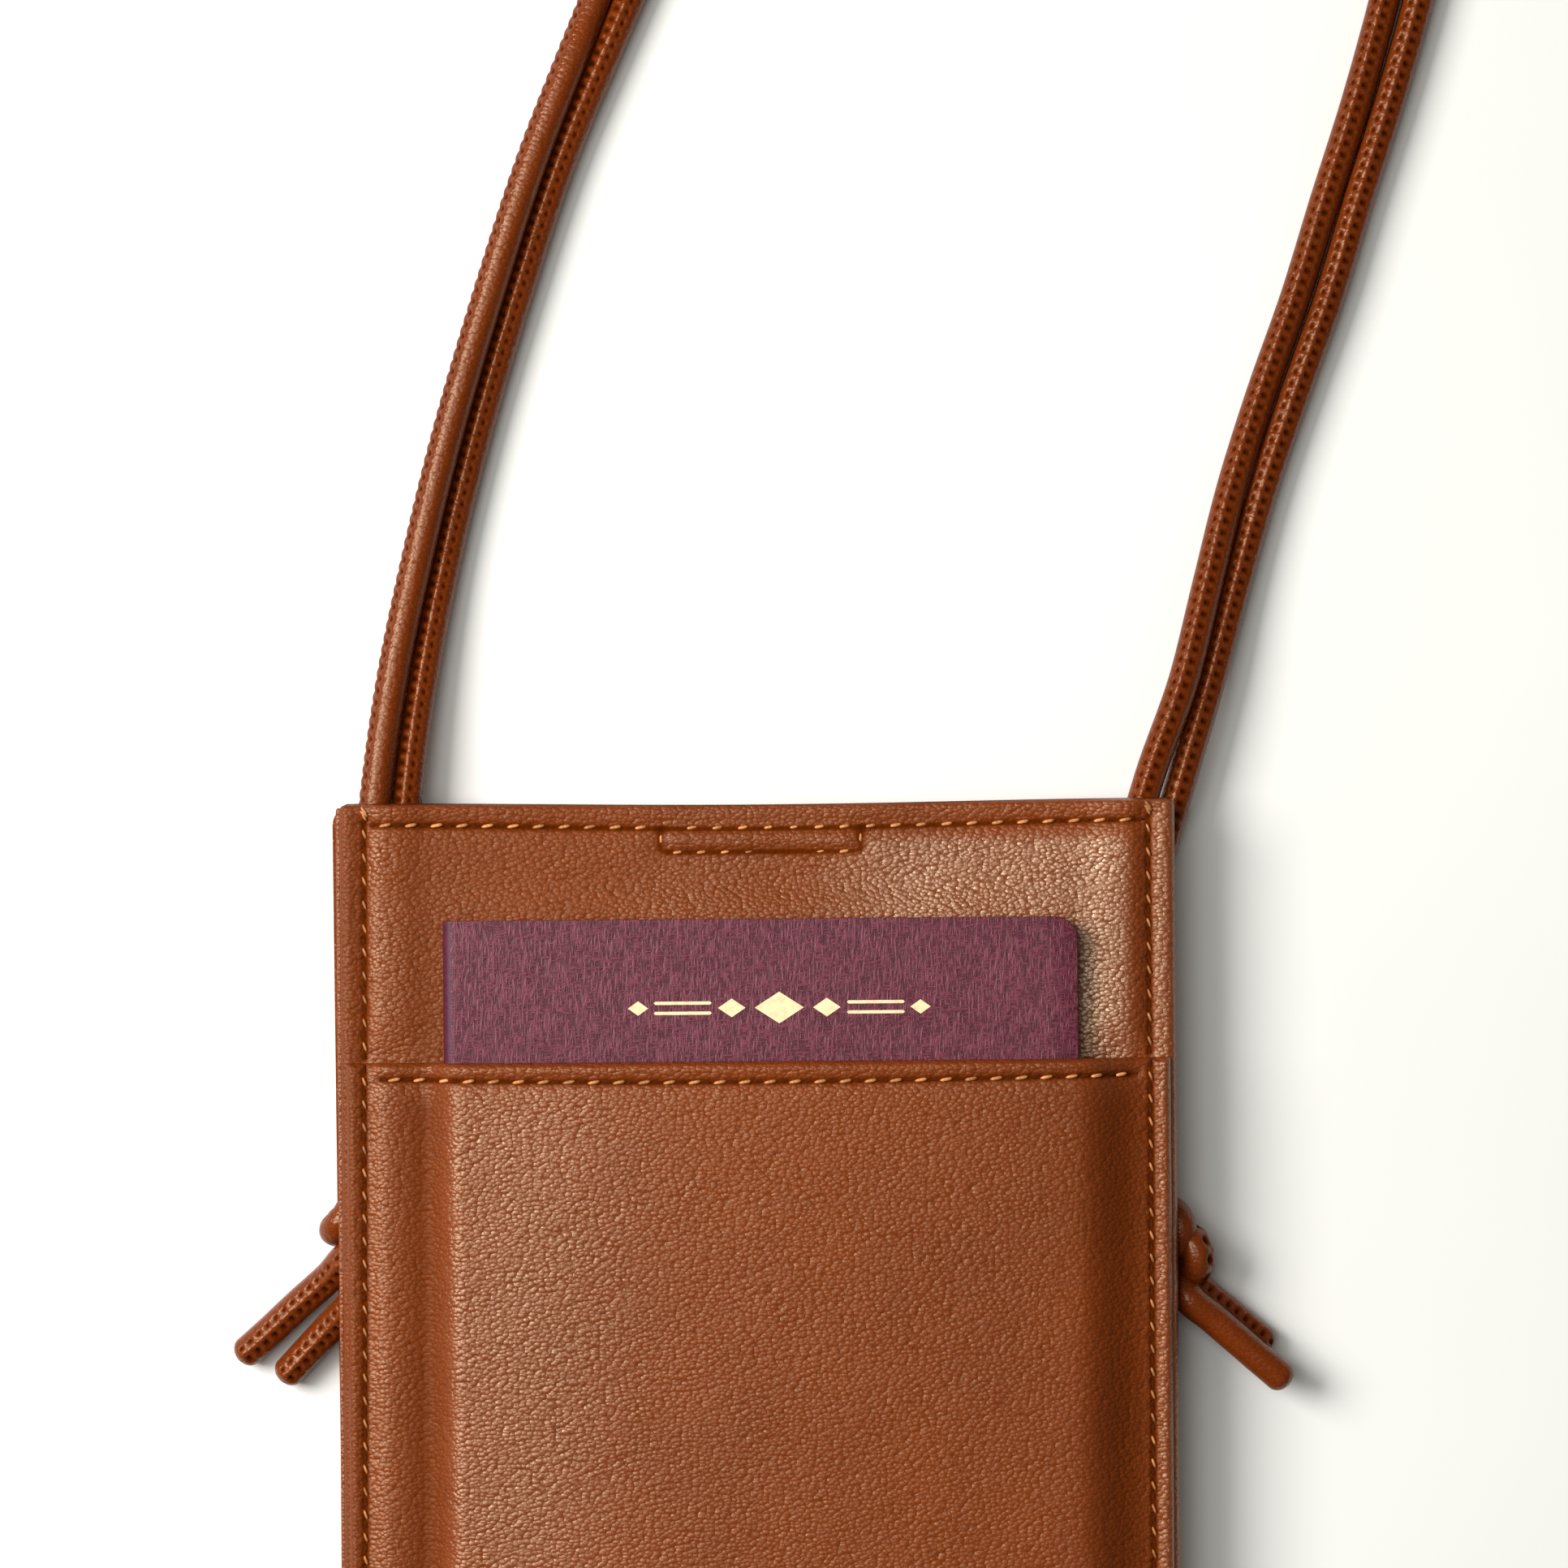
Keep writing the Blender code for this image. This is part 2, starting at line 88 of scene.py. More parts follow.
RIGHT_INNER = [
    (0.0500, 0.0240, 0.0059), (0.0500, 0.0400, 0.0059), (0.0508, 0.0560, 0.0062),
    (0.0526, 0.0710, 0.0067), (0.0553, 0.0806, 0.0068), (0.0602, 0.0941, 0.0064),
    (0.0638, 0.1077, 0.0049), (0.0674, 0.1213, 0.0035), (0.0718, 0.1348, 0.0024),
    (0.0767, 0.1483, 0.0022), (0.0810, 0.1619, 0.0022), (0.0854, 0.1754, 0.0022),
    (0.0893, 0.1890, 0.0022), (0.0948, 0.2120, 0.0022), (0.0970, 0.2330, 0.0022),
    (0.0922, 0.2530, 0.0024), (0.0790, 0.2700, 0.0035), (0.0655, 0.2771, 0.0058),
]
RIGHT_OUTER = [
    (0.0546, 0.0240, 0.0059), (0.0546, 0.0400, 0.0058), (0.0553, 0.0560, 0.0055),
    (0.0570, 0.0700, 0.0050), (0.0600, 0.0806, 0.0048), (0.0641, 0.0941, 0.0040),
    (0.0679, 0.1077, 0.0028), (0.0719, 0.1213, 0.0023), (0.0766, 0.1348, 0.0022),
    (0.0815, 0.1483, 0.0022), (0.0857, 0.1619, 0.0022), (0.0901, 0.1754, 0.0022),
    (0.0941, 0.1890, 0.0022), (0.0994, 0.2115, 0.0022), (0.1016, 0.2335, 0.0022),
    (0.0962, 0.2555, 0.0024), (0.0815, 0.2742, 0.0035), (0.0667, 0.2820, 0.0058),
]

# ---- coil: the pair winds in on the bottom layer, changes places, and winds out on the top layer -
COIL_START = 160.0
COIL_WIDE = 0.0330
COIL_NARROW = 0.0150
COIL_LAYERS = (0.00325, 0.00775)
COIL_TURN_IN = 720.0
COIL_TURN_SWAP = 360.0
COIL_TURN_OUT = 802.0
COIL_STEP = 15.0

# ---- the cords' stitched seam ------------------------------------------------------------------
SEAM_PITCH = 0.0017
RINGS_PER_STITCH = 5
# painted shade in the cords' stitch holes and slits
SLIT_PAINTED_SHADE = 1.2
SEAM_RIDGE = 0.00020
SEAM_HOLE = 0.00044
RIDGE_BEADS = 0.8
FINE_ANGLES = [-36, -29, -23, -17, -11, -5, 0, 5, 11, 18, 26, 34, 42, 50, 60, 75, 92]
SEAM_ANGLES = np.radians(FINE_ANGLES + [110, 130, 150, 172, 195, 220, 245, 270, 300])
HOLE_SHARE = np.array([1.0, 0.40, 0.0, 0.0, 0.40])
CURVE_STEPS = 24

# ---- pouch: levels and edges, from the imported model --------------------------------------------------
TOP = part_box("front_panel")[1][1]
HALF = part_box("back_panel")[1][0]
FRONT_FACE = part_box("front_panel")[1][2]
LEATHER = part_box("back_panel")[1][2]
POCKET_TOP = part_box("pocket_panel")[1][1]
POCKET_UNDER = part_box("pocket_panel")[0][2]
POCKET_FACE = POCKET_UNDER + LEATHER
FRONT_LEFT = -0.0579
FRONT_RIGHT = 0.0586
POCKET_LEFT = -0.0570
POCKET_RIGHT = 0.0577
EDGE_ROLL = 0.0014
TOP_ROLL = 0.0009
EDGE_LEAST = 0.00015
EDGE_SMOOTH = 0.0006
FINE_STEP = 0.00024
HIDDEN_DOWN = 0.0030
HIDDEN_STEP = 0.0030
FRONT_CORNER = 0.0012
BACK_CORNER = 0.0032
BACK_LEAN = 0.0008
POCKET_SEAM = 0.0029
POCKET_ROLL = 0.0011
SLIVER = 0.00003
SHIFT_REACH = 0.006
TOP_CONCAVE = 0.00055
POCKET_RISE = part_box("pocket_panel")[1][2] - POCKET_FACE
POCKET_CROWN = 0.0012
CROWN_HALF = 0.046
POCKET_RAMP_LEFT = (-0.0462, -0.0412)
POCKET_RAMP_RIGHT = (0.0540, 0.0448)
POCKET_PUFF = 0.0006
POCKET_PUFF_X = (-0.0540, -0.0516, -0.0450)
# painted shade in the hollows beside the booklet: the place and reach of each, and how dark
HOLLOW_LEFT = (-0.0464, 0.0026)
HOLLOW_RIGHT = (0.0498, 0.0052)
HOLLOW_PAINTED_SHADE = 0.36
SIDE_LIFT = 0.0006
TOP_BOW = 0.0006
BOOKLET_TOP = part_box("booklet_pages")[1][1]
ABOVE_HALF = 0.0530
ABOVE_SINK = 0.00022
ABOVE_SWELL = 0.00020
RIM_SOFT = 0.0008
# painted shade on the left margin and painted sheen on the right one, beside the side rows
RIM_PAINTED_SHADE = 0.22
RIM_PAINTED_SHEEN = 0.18
# painted sheen over the pocket's left half
POCKET_PAINTED_SHEEN = 0.16
POCKET_HEM = 0.00015
# painted shade at the left of the mouth and painted sheen at the right of it
FRONT_PAINTED_SHADE = 0.14
FRONT_PAINTED_SHEEN = 0.36
LEATHER_SHEEN = (1.0, 0.80, 0.56, 1.0)
# painted sheen: how many times the specular rises where the seam attribute is lowest, and that lowest value
PAINTED_SHEEN_GAIN = 4.0
FULL_PAINTED_SHEEN = -0.5
GRAIN_ALONG_X = 0.80
GRAIN_ALONG_Y = 1.15
POCKET_RAMP_LOW = (-0.0703, -0.0642)

# ---- sewing ------------------------------------------------------------------------------------------
TOP_PITCH = 0.0035
SIDE_PITCH = 0.0032
END_PITCH = 0.0034
FRONT_ROW_ENDS = (-0.0531, 0.0535)
POCKET_ROW_ENDS = (-0.0520, 0.0525)
POCKET_LOW_ROW_Y = -0.0697
POCKET_ROW_DOWN = 0.0022
POCKET_ROW_BOW = 0.0006
SIDE_ROW_LOW = -0.0700
SIDE_ROW_DOWN = 0.0026
LEFT_ROW_DRIFT = 0.0007
ROW_SLANT = math.radians(10)
SIDE_SLANT = math.radians(21)
SIDE_STITCH = 0.82
ROW_DEEP = 0.00050
ROW_WIDE = 0.0014
ROW_TIGHT = 0.00045
# width of the shade painted into each row's crease
ROW_SHADE = 0.00046
ROW_DOWN = 0.0030
LEFT_ROW_X = -0.0543
RIGHT_ROW_X = 0.0549
OBLONG_X = 0.0009
OBLONG_HALF = 0.0139
OBLONG_LOW = 0.0709
OBLONG_RISE = 0.00035
GRADE_REACH = 0.0012
STITCH_LONG = 0.0018
STITCH_WIDE = 0.00050
STITCH_HIGH = 0.00050
STITCH_LIFT = 0.00014
STITCH_RINGS = 9
STITCH_AROUND = 8
SLOPE_STEP = 0.0004
HOLE_LONG = 0.0019
HOLE_WIDE = 0.00052
HOLE_HIGH = 0.00026
HOLE_LIFT = 0.00003

# ---- thin parts, knots and booklet --------------------------------------------------------------------
GUSSET_LEATHER = 0.0006
GUSSET_ROUND = 0.0022
GUSSET_SWAY = 0.00025
GUSSET_RIPPLE = 0.00015
GUSSET_CLEAR = 0.0002
GUSSET_HEM = 0.0040
GUSSET_PINCH = 0.0005
FOLD_LAP = 0.0004
FOLD_THIN = 0.97
MOUTH_SHORT = 0.0006
FACING = 0.0006
FACING_DOWN = 0.0085
FACING_SHORT = 0.0004
LINING_RIPPLE = 0.00006
KEEPER_BAND = 0.0008
KEEPER_ROUND = 0.0026
TAPE = 0.0007
TAPE_ROUND = 0.0030
KNOT_STEPS = 14
KNOT_TURNS = 0.9
KNOT_ROUND = 0.0010
TAIL_ROUND = 0.0018
BOOKLET_CORNER = 0.0032
# width of the spine's strip, painted darker for its shade, seen from the front
SPINE_SHOWN = 0.0013
LEAVES = 10
LEAF_CREEP = 0.00035
PAGE_INSET = 0.0010
ORNAMENT_CENTRE = (0.0033, 0.0493)
ORNAMENT_HALF_HIGH = 0.0022
RULE_APART = 0.0007
RULE_HALF = 0.00022
FOIL = 0.00003
KNOT_LEVEL = 0.0059
KNOT_HALF_HIGH = 0.0018
# each knot: the way round and the angle where its wraps end, then for each strand its first point, its wrap's
# middle, its half widths along x and along y and the lean of its top, the wrap's first and last place along
# the pouch, and its seam's angle
KNOTS = {
    "strap_knot_left": (1, 120, (
        (LEFT_OUTER[0], (-0.0549, 0.0044, 0.0012, 0.0), (0.0198, 0.0154), 0),
        (LEFT_INNER[0], (-0.0540, 0.0030, 0.0012, 0.0), (0.0158, 0.0104), 0),
    )),
    "strap_knot_right": (-1, 240, (
        (RIGHT_OUTER[0], (0.0581, -0.0004, 0.0028, 0.0012), (0.0182, 0.0166), 0),
        (RIGHT_INNER[0], (0.0603, -0.0004, 0.0028, 0.0012), (0.0146, 0.0130), 180),
    )),
}
# the points of each strand's tail, from its wrap to its tip
TAILS = {
    "strap_knot_left": (
        [(-0.0602, 0.0116, 0.0052), (-0.0648, 0.0075, 0.0036), (-0.0690, 0.0036, 0.0027),
         (-0.0732, -0.0001, 0.0022)],
        [(-0.0572, 0.0078, 0.0056), (-0.0596, 0.0052, 0.0040), (-0.0634, 0.0011, 0.0028),
         (-0.0673, -0.0031, 0.0022)],
    ),
    "strap_knot_right": (
        [(0.0632, 0.0079, 0.0036), (0.0660, 0.0056, 0.0028), (0.0690, 0.0030, 0.0023),
         (0.0721, 0.0004, 0.0022)],
        [(0.0600, 0.0083, 0.0072), (0.0638, 0.0049, 0.0068), (0.0690, 0.0003, 0.0062),
         (0.0744, -0.0044, 0.0056)],
    ),
}


def eased(t):
    """0 to 1 with a soft start and end."""
    t = np.clip(t, 0.0, 1.0)
    return t * t * (3 - 2 * t)


RIDGE_FORM = np.exp(-((SEAM_ANGLES / 0.15) ** 2))
DOTS_FORM = np.exp(-(((SEAM_ANGLES + 0.42) / 0.13) ** 2))
SLITS_FORM = eased((SEAM_ANGLES - 0.16) / 0.14) * eased((0.80 - SEAM_ANGLES) / 0.16)
HOLES_FORM = DOTS_FORM + SLITS_FORM


def linked(obj):
    """The object, linked to the scene."""
    bpy.context.scene.collection.objects.link(obj)
    return obj


def mesh_piece(name, verts, faces, *materials):
    """A smooth-shaded mesh object from arrays of points and faces."""
    mesh = bpy.data.meshes.new(name)
    mesh.from_pydata(np.asarray(verts).tolist(), [], faces)
    mesh.validate()
    mesh.shade_smooth()
    for material in materials:
        mesh.materials.append(material)
    return linked(bpy.data.objects.new(name, mesh))


def grid_faces(rows, columns, ring=False):
    """Quads between neighbouring points of a grid, closed round each row when it is a ring."""
    faces = []
    for near in range(0, (rows - 1) * columns, columns):
        for column in range(columns if ring else columns - 1):
            beside = (column + 1) % columns
            faces.append((near + column, near + beside, near + columns + beside, near + columns + column))
    return faces


def tube_faces(rings, around):
    """Quads between a tube's rings, and a cap on each end."""
    caps = [tuple(range(around))[::-1], tuple(range((rings - 1) * around, rings * around))]
    return grid_faces(rings, around, ring=True) + caps


def grid_rim(rows, columns):
    """The points round a grid's border, in order."""
    rim = list(range(columns)) + [row * columns + columns - 1 for row in range(1, rows)]
    rim += [rows * columns - 1 - column for column in range(1, columns)]
    return rim + [row * columns for row in range(rows - 2, 0, -1)]


def unit(vectors):
    """The same directions with length 1."""
    return vectors / np.linalg.norm(vectors, axis=-1, keepdims=True)


def run_lengths(line):
    """Distance along a line at each of its points."""
    return np.concatenate([[0.0], np.cumsum(np.linalg.norm(np.diff(line, axis=0), axis=1))])


def outward_faces(piece):
    """Turn a closed piece's faces so that all of them point out."""
    shape = bmesh.new()
    shape.from_mesh(piece.data)
    bmesh.ops.recalc_face_normals(shape, faces=shape.faces)
    shape.to_mesh(piece.data)
    shape.free()
    piece.data.shade_smooth()


def store_shade_and_sheen(piece, shade):
    """Keep the painted shade of seams and creases, and painted sheen below 0, on the piece's first points for
    its material.
    """
    values = np.zeros(len(piece.data.vertices), dtype=np.float32)
    values[: shade.size] = np.clip(shade, FULL_PAINTED_SHEEN, 1).reshape(-1)
    piece.data.attributes.new("seam", "FLOAT", "POINT").data.foreach_set("value", values)


def fit(piece, body, slot, *nodes):
    """Let a piece ride on a body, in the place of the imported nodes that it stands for."""
    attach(piece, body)
    if nodes:
        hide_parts(*nodes)


# ---- materials -----------------------------------------------------------------------------------
def scaled(colour, share):
    """A colour made darker or lighter."""
    return tuple(c * share for c in colour)


class Nodes:
    """A material's node tree, with short ways to add and link nodes."""

    def __init__(self, name, roughness=0.5, metallic=0.0, specular=0.5):
        self.material = bpy.data.materials.new(name)
        self.material.use_nodes = True
        self.tree = self.material.node_tree
        self.shader = self.tree.nodes["Principled BSDF"]
        self.set(self.shader, {"Roughness": roughness, "Metallic": metallic, "Specular IOR Level": specular})
        self.place = self.add("TexCoord").outputs["Object"]

    def set(self, node, inputs):
        """Give a node's inputs their values, each a number, a tuple or another node's output."""
        for key, value in inputs.items():
            if isinstance(value, bpy.types.NodeSocket):
                self.tree.links.new(value, node.inputs[key])
            else:
                node.inputs[key].default_value = value

    def add(self, kind, inputs=None, **settings):
        """A new node with its properties and then its inputs set."""
        node = self.tree.nodes.new(f"ShaderNode{kind}")
        for key, value in settings.items():
            setattr(node, key, value)
        self.set(node, inputs or {})
        return node

    def noise(self, scale, detail=3.0, rough=0.5, place=None):
        """Cloudy noise, as a value from 0 to 1."""
        inputs = {"Scale": scale, "Detail": detail, "Roughness": rough, "Vector": place or self.place}
        return self.add("TexNoise", inputs).outputs["Fac"]

    def wander(self, scale, reach):
        """Places pushed about by noise, so that a pattern on them is irregular."""
        cloud = self.add("TexNoise", {"Scale": scale, "Vector": self.place}).outputs["Color"]
        inputs = {0: cloud, 1: (reach, reach, reach), 2: self.place}
        return self.add("VectorMath", inputs, operation="MULTIPLY_ADD").outputs["Vector"]

    def stretched(self, x, y, place=None):
        """Places scaled apart, so that a pattern on them is drawn out along x or y."""
        return self.add("Mapping", {"Scale": (x, y, 1.0), "Vector": place or self.place}).outputs["Vector"]

    def cells(self, scale, feature, place):
        """Distance inside small irregular cells."""
        return self.add("TexVoronoi", {"Scale": scale, "Vector": place}, feature=feature).outputs["Distance"]

    def wave(self, scale, direction, distortion=0.0):
        """Straight bands across one direction."""
        inputs = {"Scale": scale, "Distortion": distortion, "Vector": self.place}
        return self.add("TexWave", inputs, bands_direction=direction).outputs["Fac"]

    def map(self, value, low, high, start=0.0, end=1.0):
        """A value moved from one range to another."""
        inputs = {"Value": value, "From Min": start, "From Max": end, "To Min": low, "To Max": high}
        return self.add("MapRange", inputs).outputs["Result"]

    def math(self, operation, a, b):
        """Arithmetic on two values, each an output or a number."""
        return self.add("Math", {0: a, 1: b}, operation=operation).outputs["Value"]

    def ramp(self, value, *stops):
        """A value turned into a colour between two (position, colour) stops."""
        node = self.add("ValToRGB", {"Fac": value})
        for element, (position, colour) in zip(node.color_ramp.elements, stops):
            element.position = position
            element.color = (*colour, 1.0)
        return node.outputs["Color"]

    def mix(self, share, under, over):
        """A colour laid over a colour output, by a share."""
        return self.add("Mix", {0: share, 6: under, 7: (*over, 1.0)}, data_type="RGBA").outputs[2]

    def colour(self, output):
        """Set the base colour."""
        self.set(self.shader, {"Base Color": output})

    def roughness(self, output):
        """Set the roughness."""
        self.set(self.shader, {"Roughness": output})

    def bump(self, height, depth, strength=1.0):
        """Raise the surface by a height of at most depth."""
        node = self.add("Bump", {"Strength": strength, "Distance": depth, "Height": height})
        self.set(self.shader, {"Normal": node.outputs["Normal"]})


def leather(name, tone, shine, rough, grain=0.00060, relief=0.00015):
    """Pebbled leather, with shade painted darker into the creases of its grain.

    Its "seam" attribute runs from below 0, where a sheen is painted on as a stronger specular, to 1, where
    shade is painted dark into creases and holes."""
    nodes = Nodes(name, 0.40)
    places = nodes.stretched(GRAIN_ALONG_X, GRAIN_ALONG_Y, nodes.wander(900, grain * 0.50))
    pebble = nodes.cells(1 / grain, "DISTANCE_TO_EDGE", places)
    dome = nodes.cells(1 / grain, "F1", places)
    height = nodes.math("MULTIPLY", nodes.math("MULTIPLY", dome, dome), -1.0)
    height = nodes.math("ADD", height, nodes.math("MULTIPLY", nodes.noise(1.5 / grain, 2.0), 0.30))
    base = nodes.ramp(nodes.noise(38, 4.0), (0.32, scaled(tone, 0.90)), (0.68, scaled(tone, 1.10)))
    # painted shade: the grain's creases go darker towards each cell's edge
    base = nodes.mix(nodes.map(pebble, 0.45, 0.0, 0.0, 0.12), base, scaled(tone, 0.40))
    seam = nodes.add("Attribute", attribute_name="seam").outputs["Fac"]
    dark = nodes.math("MAXIMUM", seam, 0.0)
    # painted shade: above 0 the seam attribute darkens the colour towards a fifth of the tone
    nodes.colour(nodes.mix(nodes.math("MULTIPLY", dark, 0.9), base, scaled(tone, 0.20)))
    rough = nodes.map(nodes.noise(300, 2.0), rough - 0.06, rough + 0.06, 0.3, 0.7)
    nodes.roughness(nodes.math("ADD", rough, nodes.math("MULTIPLY", dark, 0.40)))
    # painted sheen: below 0 the seam attribute raises the specular several times over; painted shade above 0
    # takes it away
    painted_sheen = nodes.map(seam, shine * PAINTED_SHEEN_GAIN, shine, FULL_PAINTED_SHEEN, 0.0)
    gloss = nodes.math("MULTIPLY", painted_sheen, nodes.map(dark, 1.0, 0.0, 0.0, 0.5))
    nodes.set(nodes.shader, {"Specular Tint": LEATHER_SHEEN, "Specular IOR Level": gloss})
    nodes.bump(height, relief)
    return nodes.material


def thread_material(name, tone):
    """Waxed tan thread, with its twist as fine slanting ridges."""
    nodes = Nodes(name, 0.45)
    nodes.colour(nodes.ramp(nodes.noise(420), (0.35, scaled(tone, 0.48)), (0.65, tone)))
    nodes.bump(nodes.wave(1100, "DIAGONAL"), 0.00005, 0.6)
    return nodes.material


def mottled(name, surface, clouds, dark, light, grain=None):
    """A material clouded between two (position, colour) stops.

    surface is its roughness, metallic and specular values, clouds the scale and detail of its tones,
    and grain the scale, detail, depth and strength of its bumps, if it has any."""
    nodes = Nodes(name, *surface)
    nodes.colour(nodes.ramp(nodes.noise(*clouds), dark, light))
    if grain:
        scale, detail, depth, strength = grain
        nodes.bump(nodes.noise(scale, detail), depth, strength)
    return nodes.material


def hole_shade_material():
    """Painted shade: dark pieces in the creases and needle holes between stitches."""
    dark, light = (0.3, (0.045, 0.008, 0.002)), (0.7, (0.085, 0.018, 0.005))
    return mottled("thread_holes_painted_shade", (0.9, 0.0, 0.0), (2000, 3.0), dark, light)


def cover_material():
    """Burgundy bookcloth: a fine linen weave of threads both ways, with a slight sheen."""
    nodes = Nodes("booklet_cloth", 0.40, 0.0, 0.3)
    weft = nodes.noise(4400, 1.0, 0.5, nodes.stretched(0.26, 1.0))
    warp = nodes.noise(4200, 1.0, 0.5, nodes.stretched(1.0, 0.16))
    weave = nodes.math("MAXIMUM", weft, warp)
    nodes.colour(nodes.ramp(weave, (0.47, (0.068, 0.008, 0.019)), (0.65, (0.156, 0.031, 0.050))))
    nodes.roughness(nodes.map(nodes.noise(60), 0.34, 0.48))
    nodes.bump(weave, 0.00015)
    return nodes.material


def spine_shade_material():
    """The booklet's spine: the same cloth with a smoother grain, painted deep burgundy for the shade where it
    rounds away.
    """
    dark, light = (0.3, (0.045, 0.002, 0.014)), (0.7, (0.080, 0.006, 0.024))
    grain = (3600, 3.0, 0.00006, 0.6)
    return mottled("booklet_spine_painted_shade", (0.5, 0.0, 0.3), (1800, 3.0), dark, light, grain)


def pages_material():
    """Cream paper with a fine tooth."""
    dark, light = (0.3, (0.66, 0.61, 0.50)), (0.7, (0.82, 0.79, 0.70))
    return mottled("pages_paper", (0.8, 0.0, 0.3), (900, 4.0), dark, light, (4000, 2.0, 0.00002, 0.5))


def foil_material():
    """Pale gold foil, a little worn."""
    dark, light = (0.25, (0.74, 0.52, 0.27)), (0.55, (0.88, 0.69, 0.40))
    return mottled("foil_gold", (0.42, 0.15), (1300, 4.0), dark, light, (2600, 2.0, 0.00002, 0.4))


def board_material():
    """Grey-brown fibre board."""
    dark, light = (0.3, (0.24, 0.18, 0.12)), (0.7, (0.42, 0.34, 0.24))
    return mottled("board_fibre", (0.9, 0.0, 0.2), (700, 5.0), dark, light, (1500, 4.0, 0.00008, 0.7))


def floor_material():
    """Pale matt board with the faintest unevenness."""
    dark, light = (0.3, (0.79, 0.79, 0.765)), (0.7, (0.82, 0.82, 0.80))
    return mottled("floor_pale", (0.9, 0.0, 0.1), (8, 3.0), dark, light)


def lining_material():
    """Brown twill lining."""
    nodes = Nodes("lining_twill", 0.8, 0.0, 0.3)
    twill = nodes.wave(520, "DIAGONAL", 0.6)
    nodes.colour(nodes.ramp(twill, (0.2, (0.085, 0.040, 0.022)), (0.8, (0.20, 0.105, 0.060))))
    nodes.bump(twill, 0.00012, 0.8)
    return nodes.material


def magnet_material():
    """Nickel-plated steel with fine lengthwise scratches."""
    nodes = Nodes("magnet_nickel", 0.32, 1.0)
    scratch = nodes.noise(1600, 3.0, 0.6, nodes.stretched(0.04, 1.0))
    nodes.colour(nodes.ramp(scratch, (0.3, (0.44, 0.43, 0.42)), (0.7, (0.62, 0.61, 0.60))))
    nodes.roughness(nodes.map(scratch, 0.22, 0.42))
    return nodes.material


def tape_material():
    """Dark woven tape."""
    nodes = Nodes("tie_tape", 0.8, 0.0, 0.3)
    weave = nodes.math("MULTIPLY", nodes.wave(620, "X"), nodes.wave(520, "DIAGONAL"))
    nodes.colour(nodes.ramp(weave, (0.1, (0.020, 0.015, 0.012)), (0.8, (0.085, 0.066, 0.055))))
    nodes.bump(weave, 0.00015, 0.8)
    return nodes.material


# ---- lines and tubes ------------------------------------------------------------------------------
def smooth_line(points, spacing):
    """Evenly spaced points on a smooth curve through the given points."""
    points = np.array(points, dtype=float)
    gaps = np.linalg.norm(np.diff(points, axis=0), axis=1)
    slopes = np.gradient(points, run_lengths(points), axis=0)
    t = np.linspace(0, 1, CURVE_STEPS, endpoint=False)[:, None]
    start, leave = 2 * t**3 - 3 * t**2 + 1, t**3 - 2 * t**2 + t
    end, arrive = 3 * t**2 - 2 * t**3, t**3 - t**2
    fine = []
    for n, gap in enumerate(gaps):
        pulls = leave * slopes[n] * gap + arrive * slopes[n + 1] * gap
        fine.append(start * points[n] + end * points[n + 1] + pulls)
    fine = np.concatenate([*fine, points[-1:]])
    along = run_lengths(fine)
    places = np.linspace(0, along[-1], max(2, round(along[-1] / spacing) + 1))
    return np.stack([np.interp(places, along, fine[:, axis]) for axis in range(3)], axis=1)


def level_frames(line):
    """Side and up directions at each point of a line that never stands upright."""
    tangent = unit(np.gradient(line, axis=0))
    up = unit(np.array([[0.0, 0.0, 1.0]]) - tangent * tangent[:, 2:3])
    return np.cross(up, tangent), up


def carried_frames(line):
    """Side and up directions carried along a line without twist, whichever way it turns."""
    tangent = unit(np.gradient(line, axis=0))
    ups = [np.array([0.0, 0.0, 1.0])]
    for direction in tangent:
        ups.append(unit(ups[-1] - direction * ups[-1].dot(direction)))
    ups = np.array(ups[1:])
    return np.cross(ups, tangent), ups


def stitched_tube(name, line, turn, material, round_start=0.0, round_end=0.0, frames=level_frames):
    """A round leather cord along a line, with a raised seam between two rows of stitch holes.

    turn is the seam's angle from straight up, in radians, one for each point of the line."""
    side, up = frames(line)
    share = HOLE_SHARE[np.arange(len(line)) % RINGS_PER_STITCH][:, None]
    radius = CORD / 2 + SEAM_RIDGE * RIDGE_FORM * (1 - RIDGE_BEADS * share) - SEAM_HOLE * share * HOLES_FORM
    along = run_lengths(line)
    for rounding, left in ((round_start, along), (round_end, along[-1] - along)):
        if rounding:
            near = np.clip(1 - left / rounding, 0, 0.995)
            radius *= np.sqrt(1 - near**2)[:, None]
    angle = np.asarray(turn)[:, None] + SEAM_ANGLES
    outward = np.sin(angle)[:, :, None] * side[:, None, :] + np.cos(angle)[:, :, None] * up[:, None, :]
    rings = line[:, None, :] + radius[:, :, None] * outward
    piece = mesh_piece(name, rings.reshape(-1, 3), tube_faces(len(line), len(SEAM_ANGLES)), material)
    # painted shade in the stitch holes and slits
    store_shade_and_sheen(piece, SLIT_PAINTED_SHADE * share * np.clip(HOLES_FORM, 0, 1))
    return piece


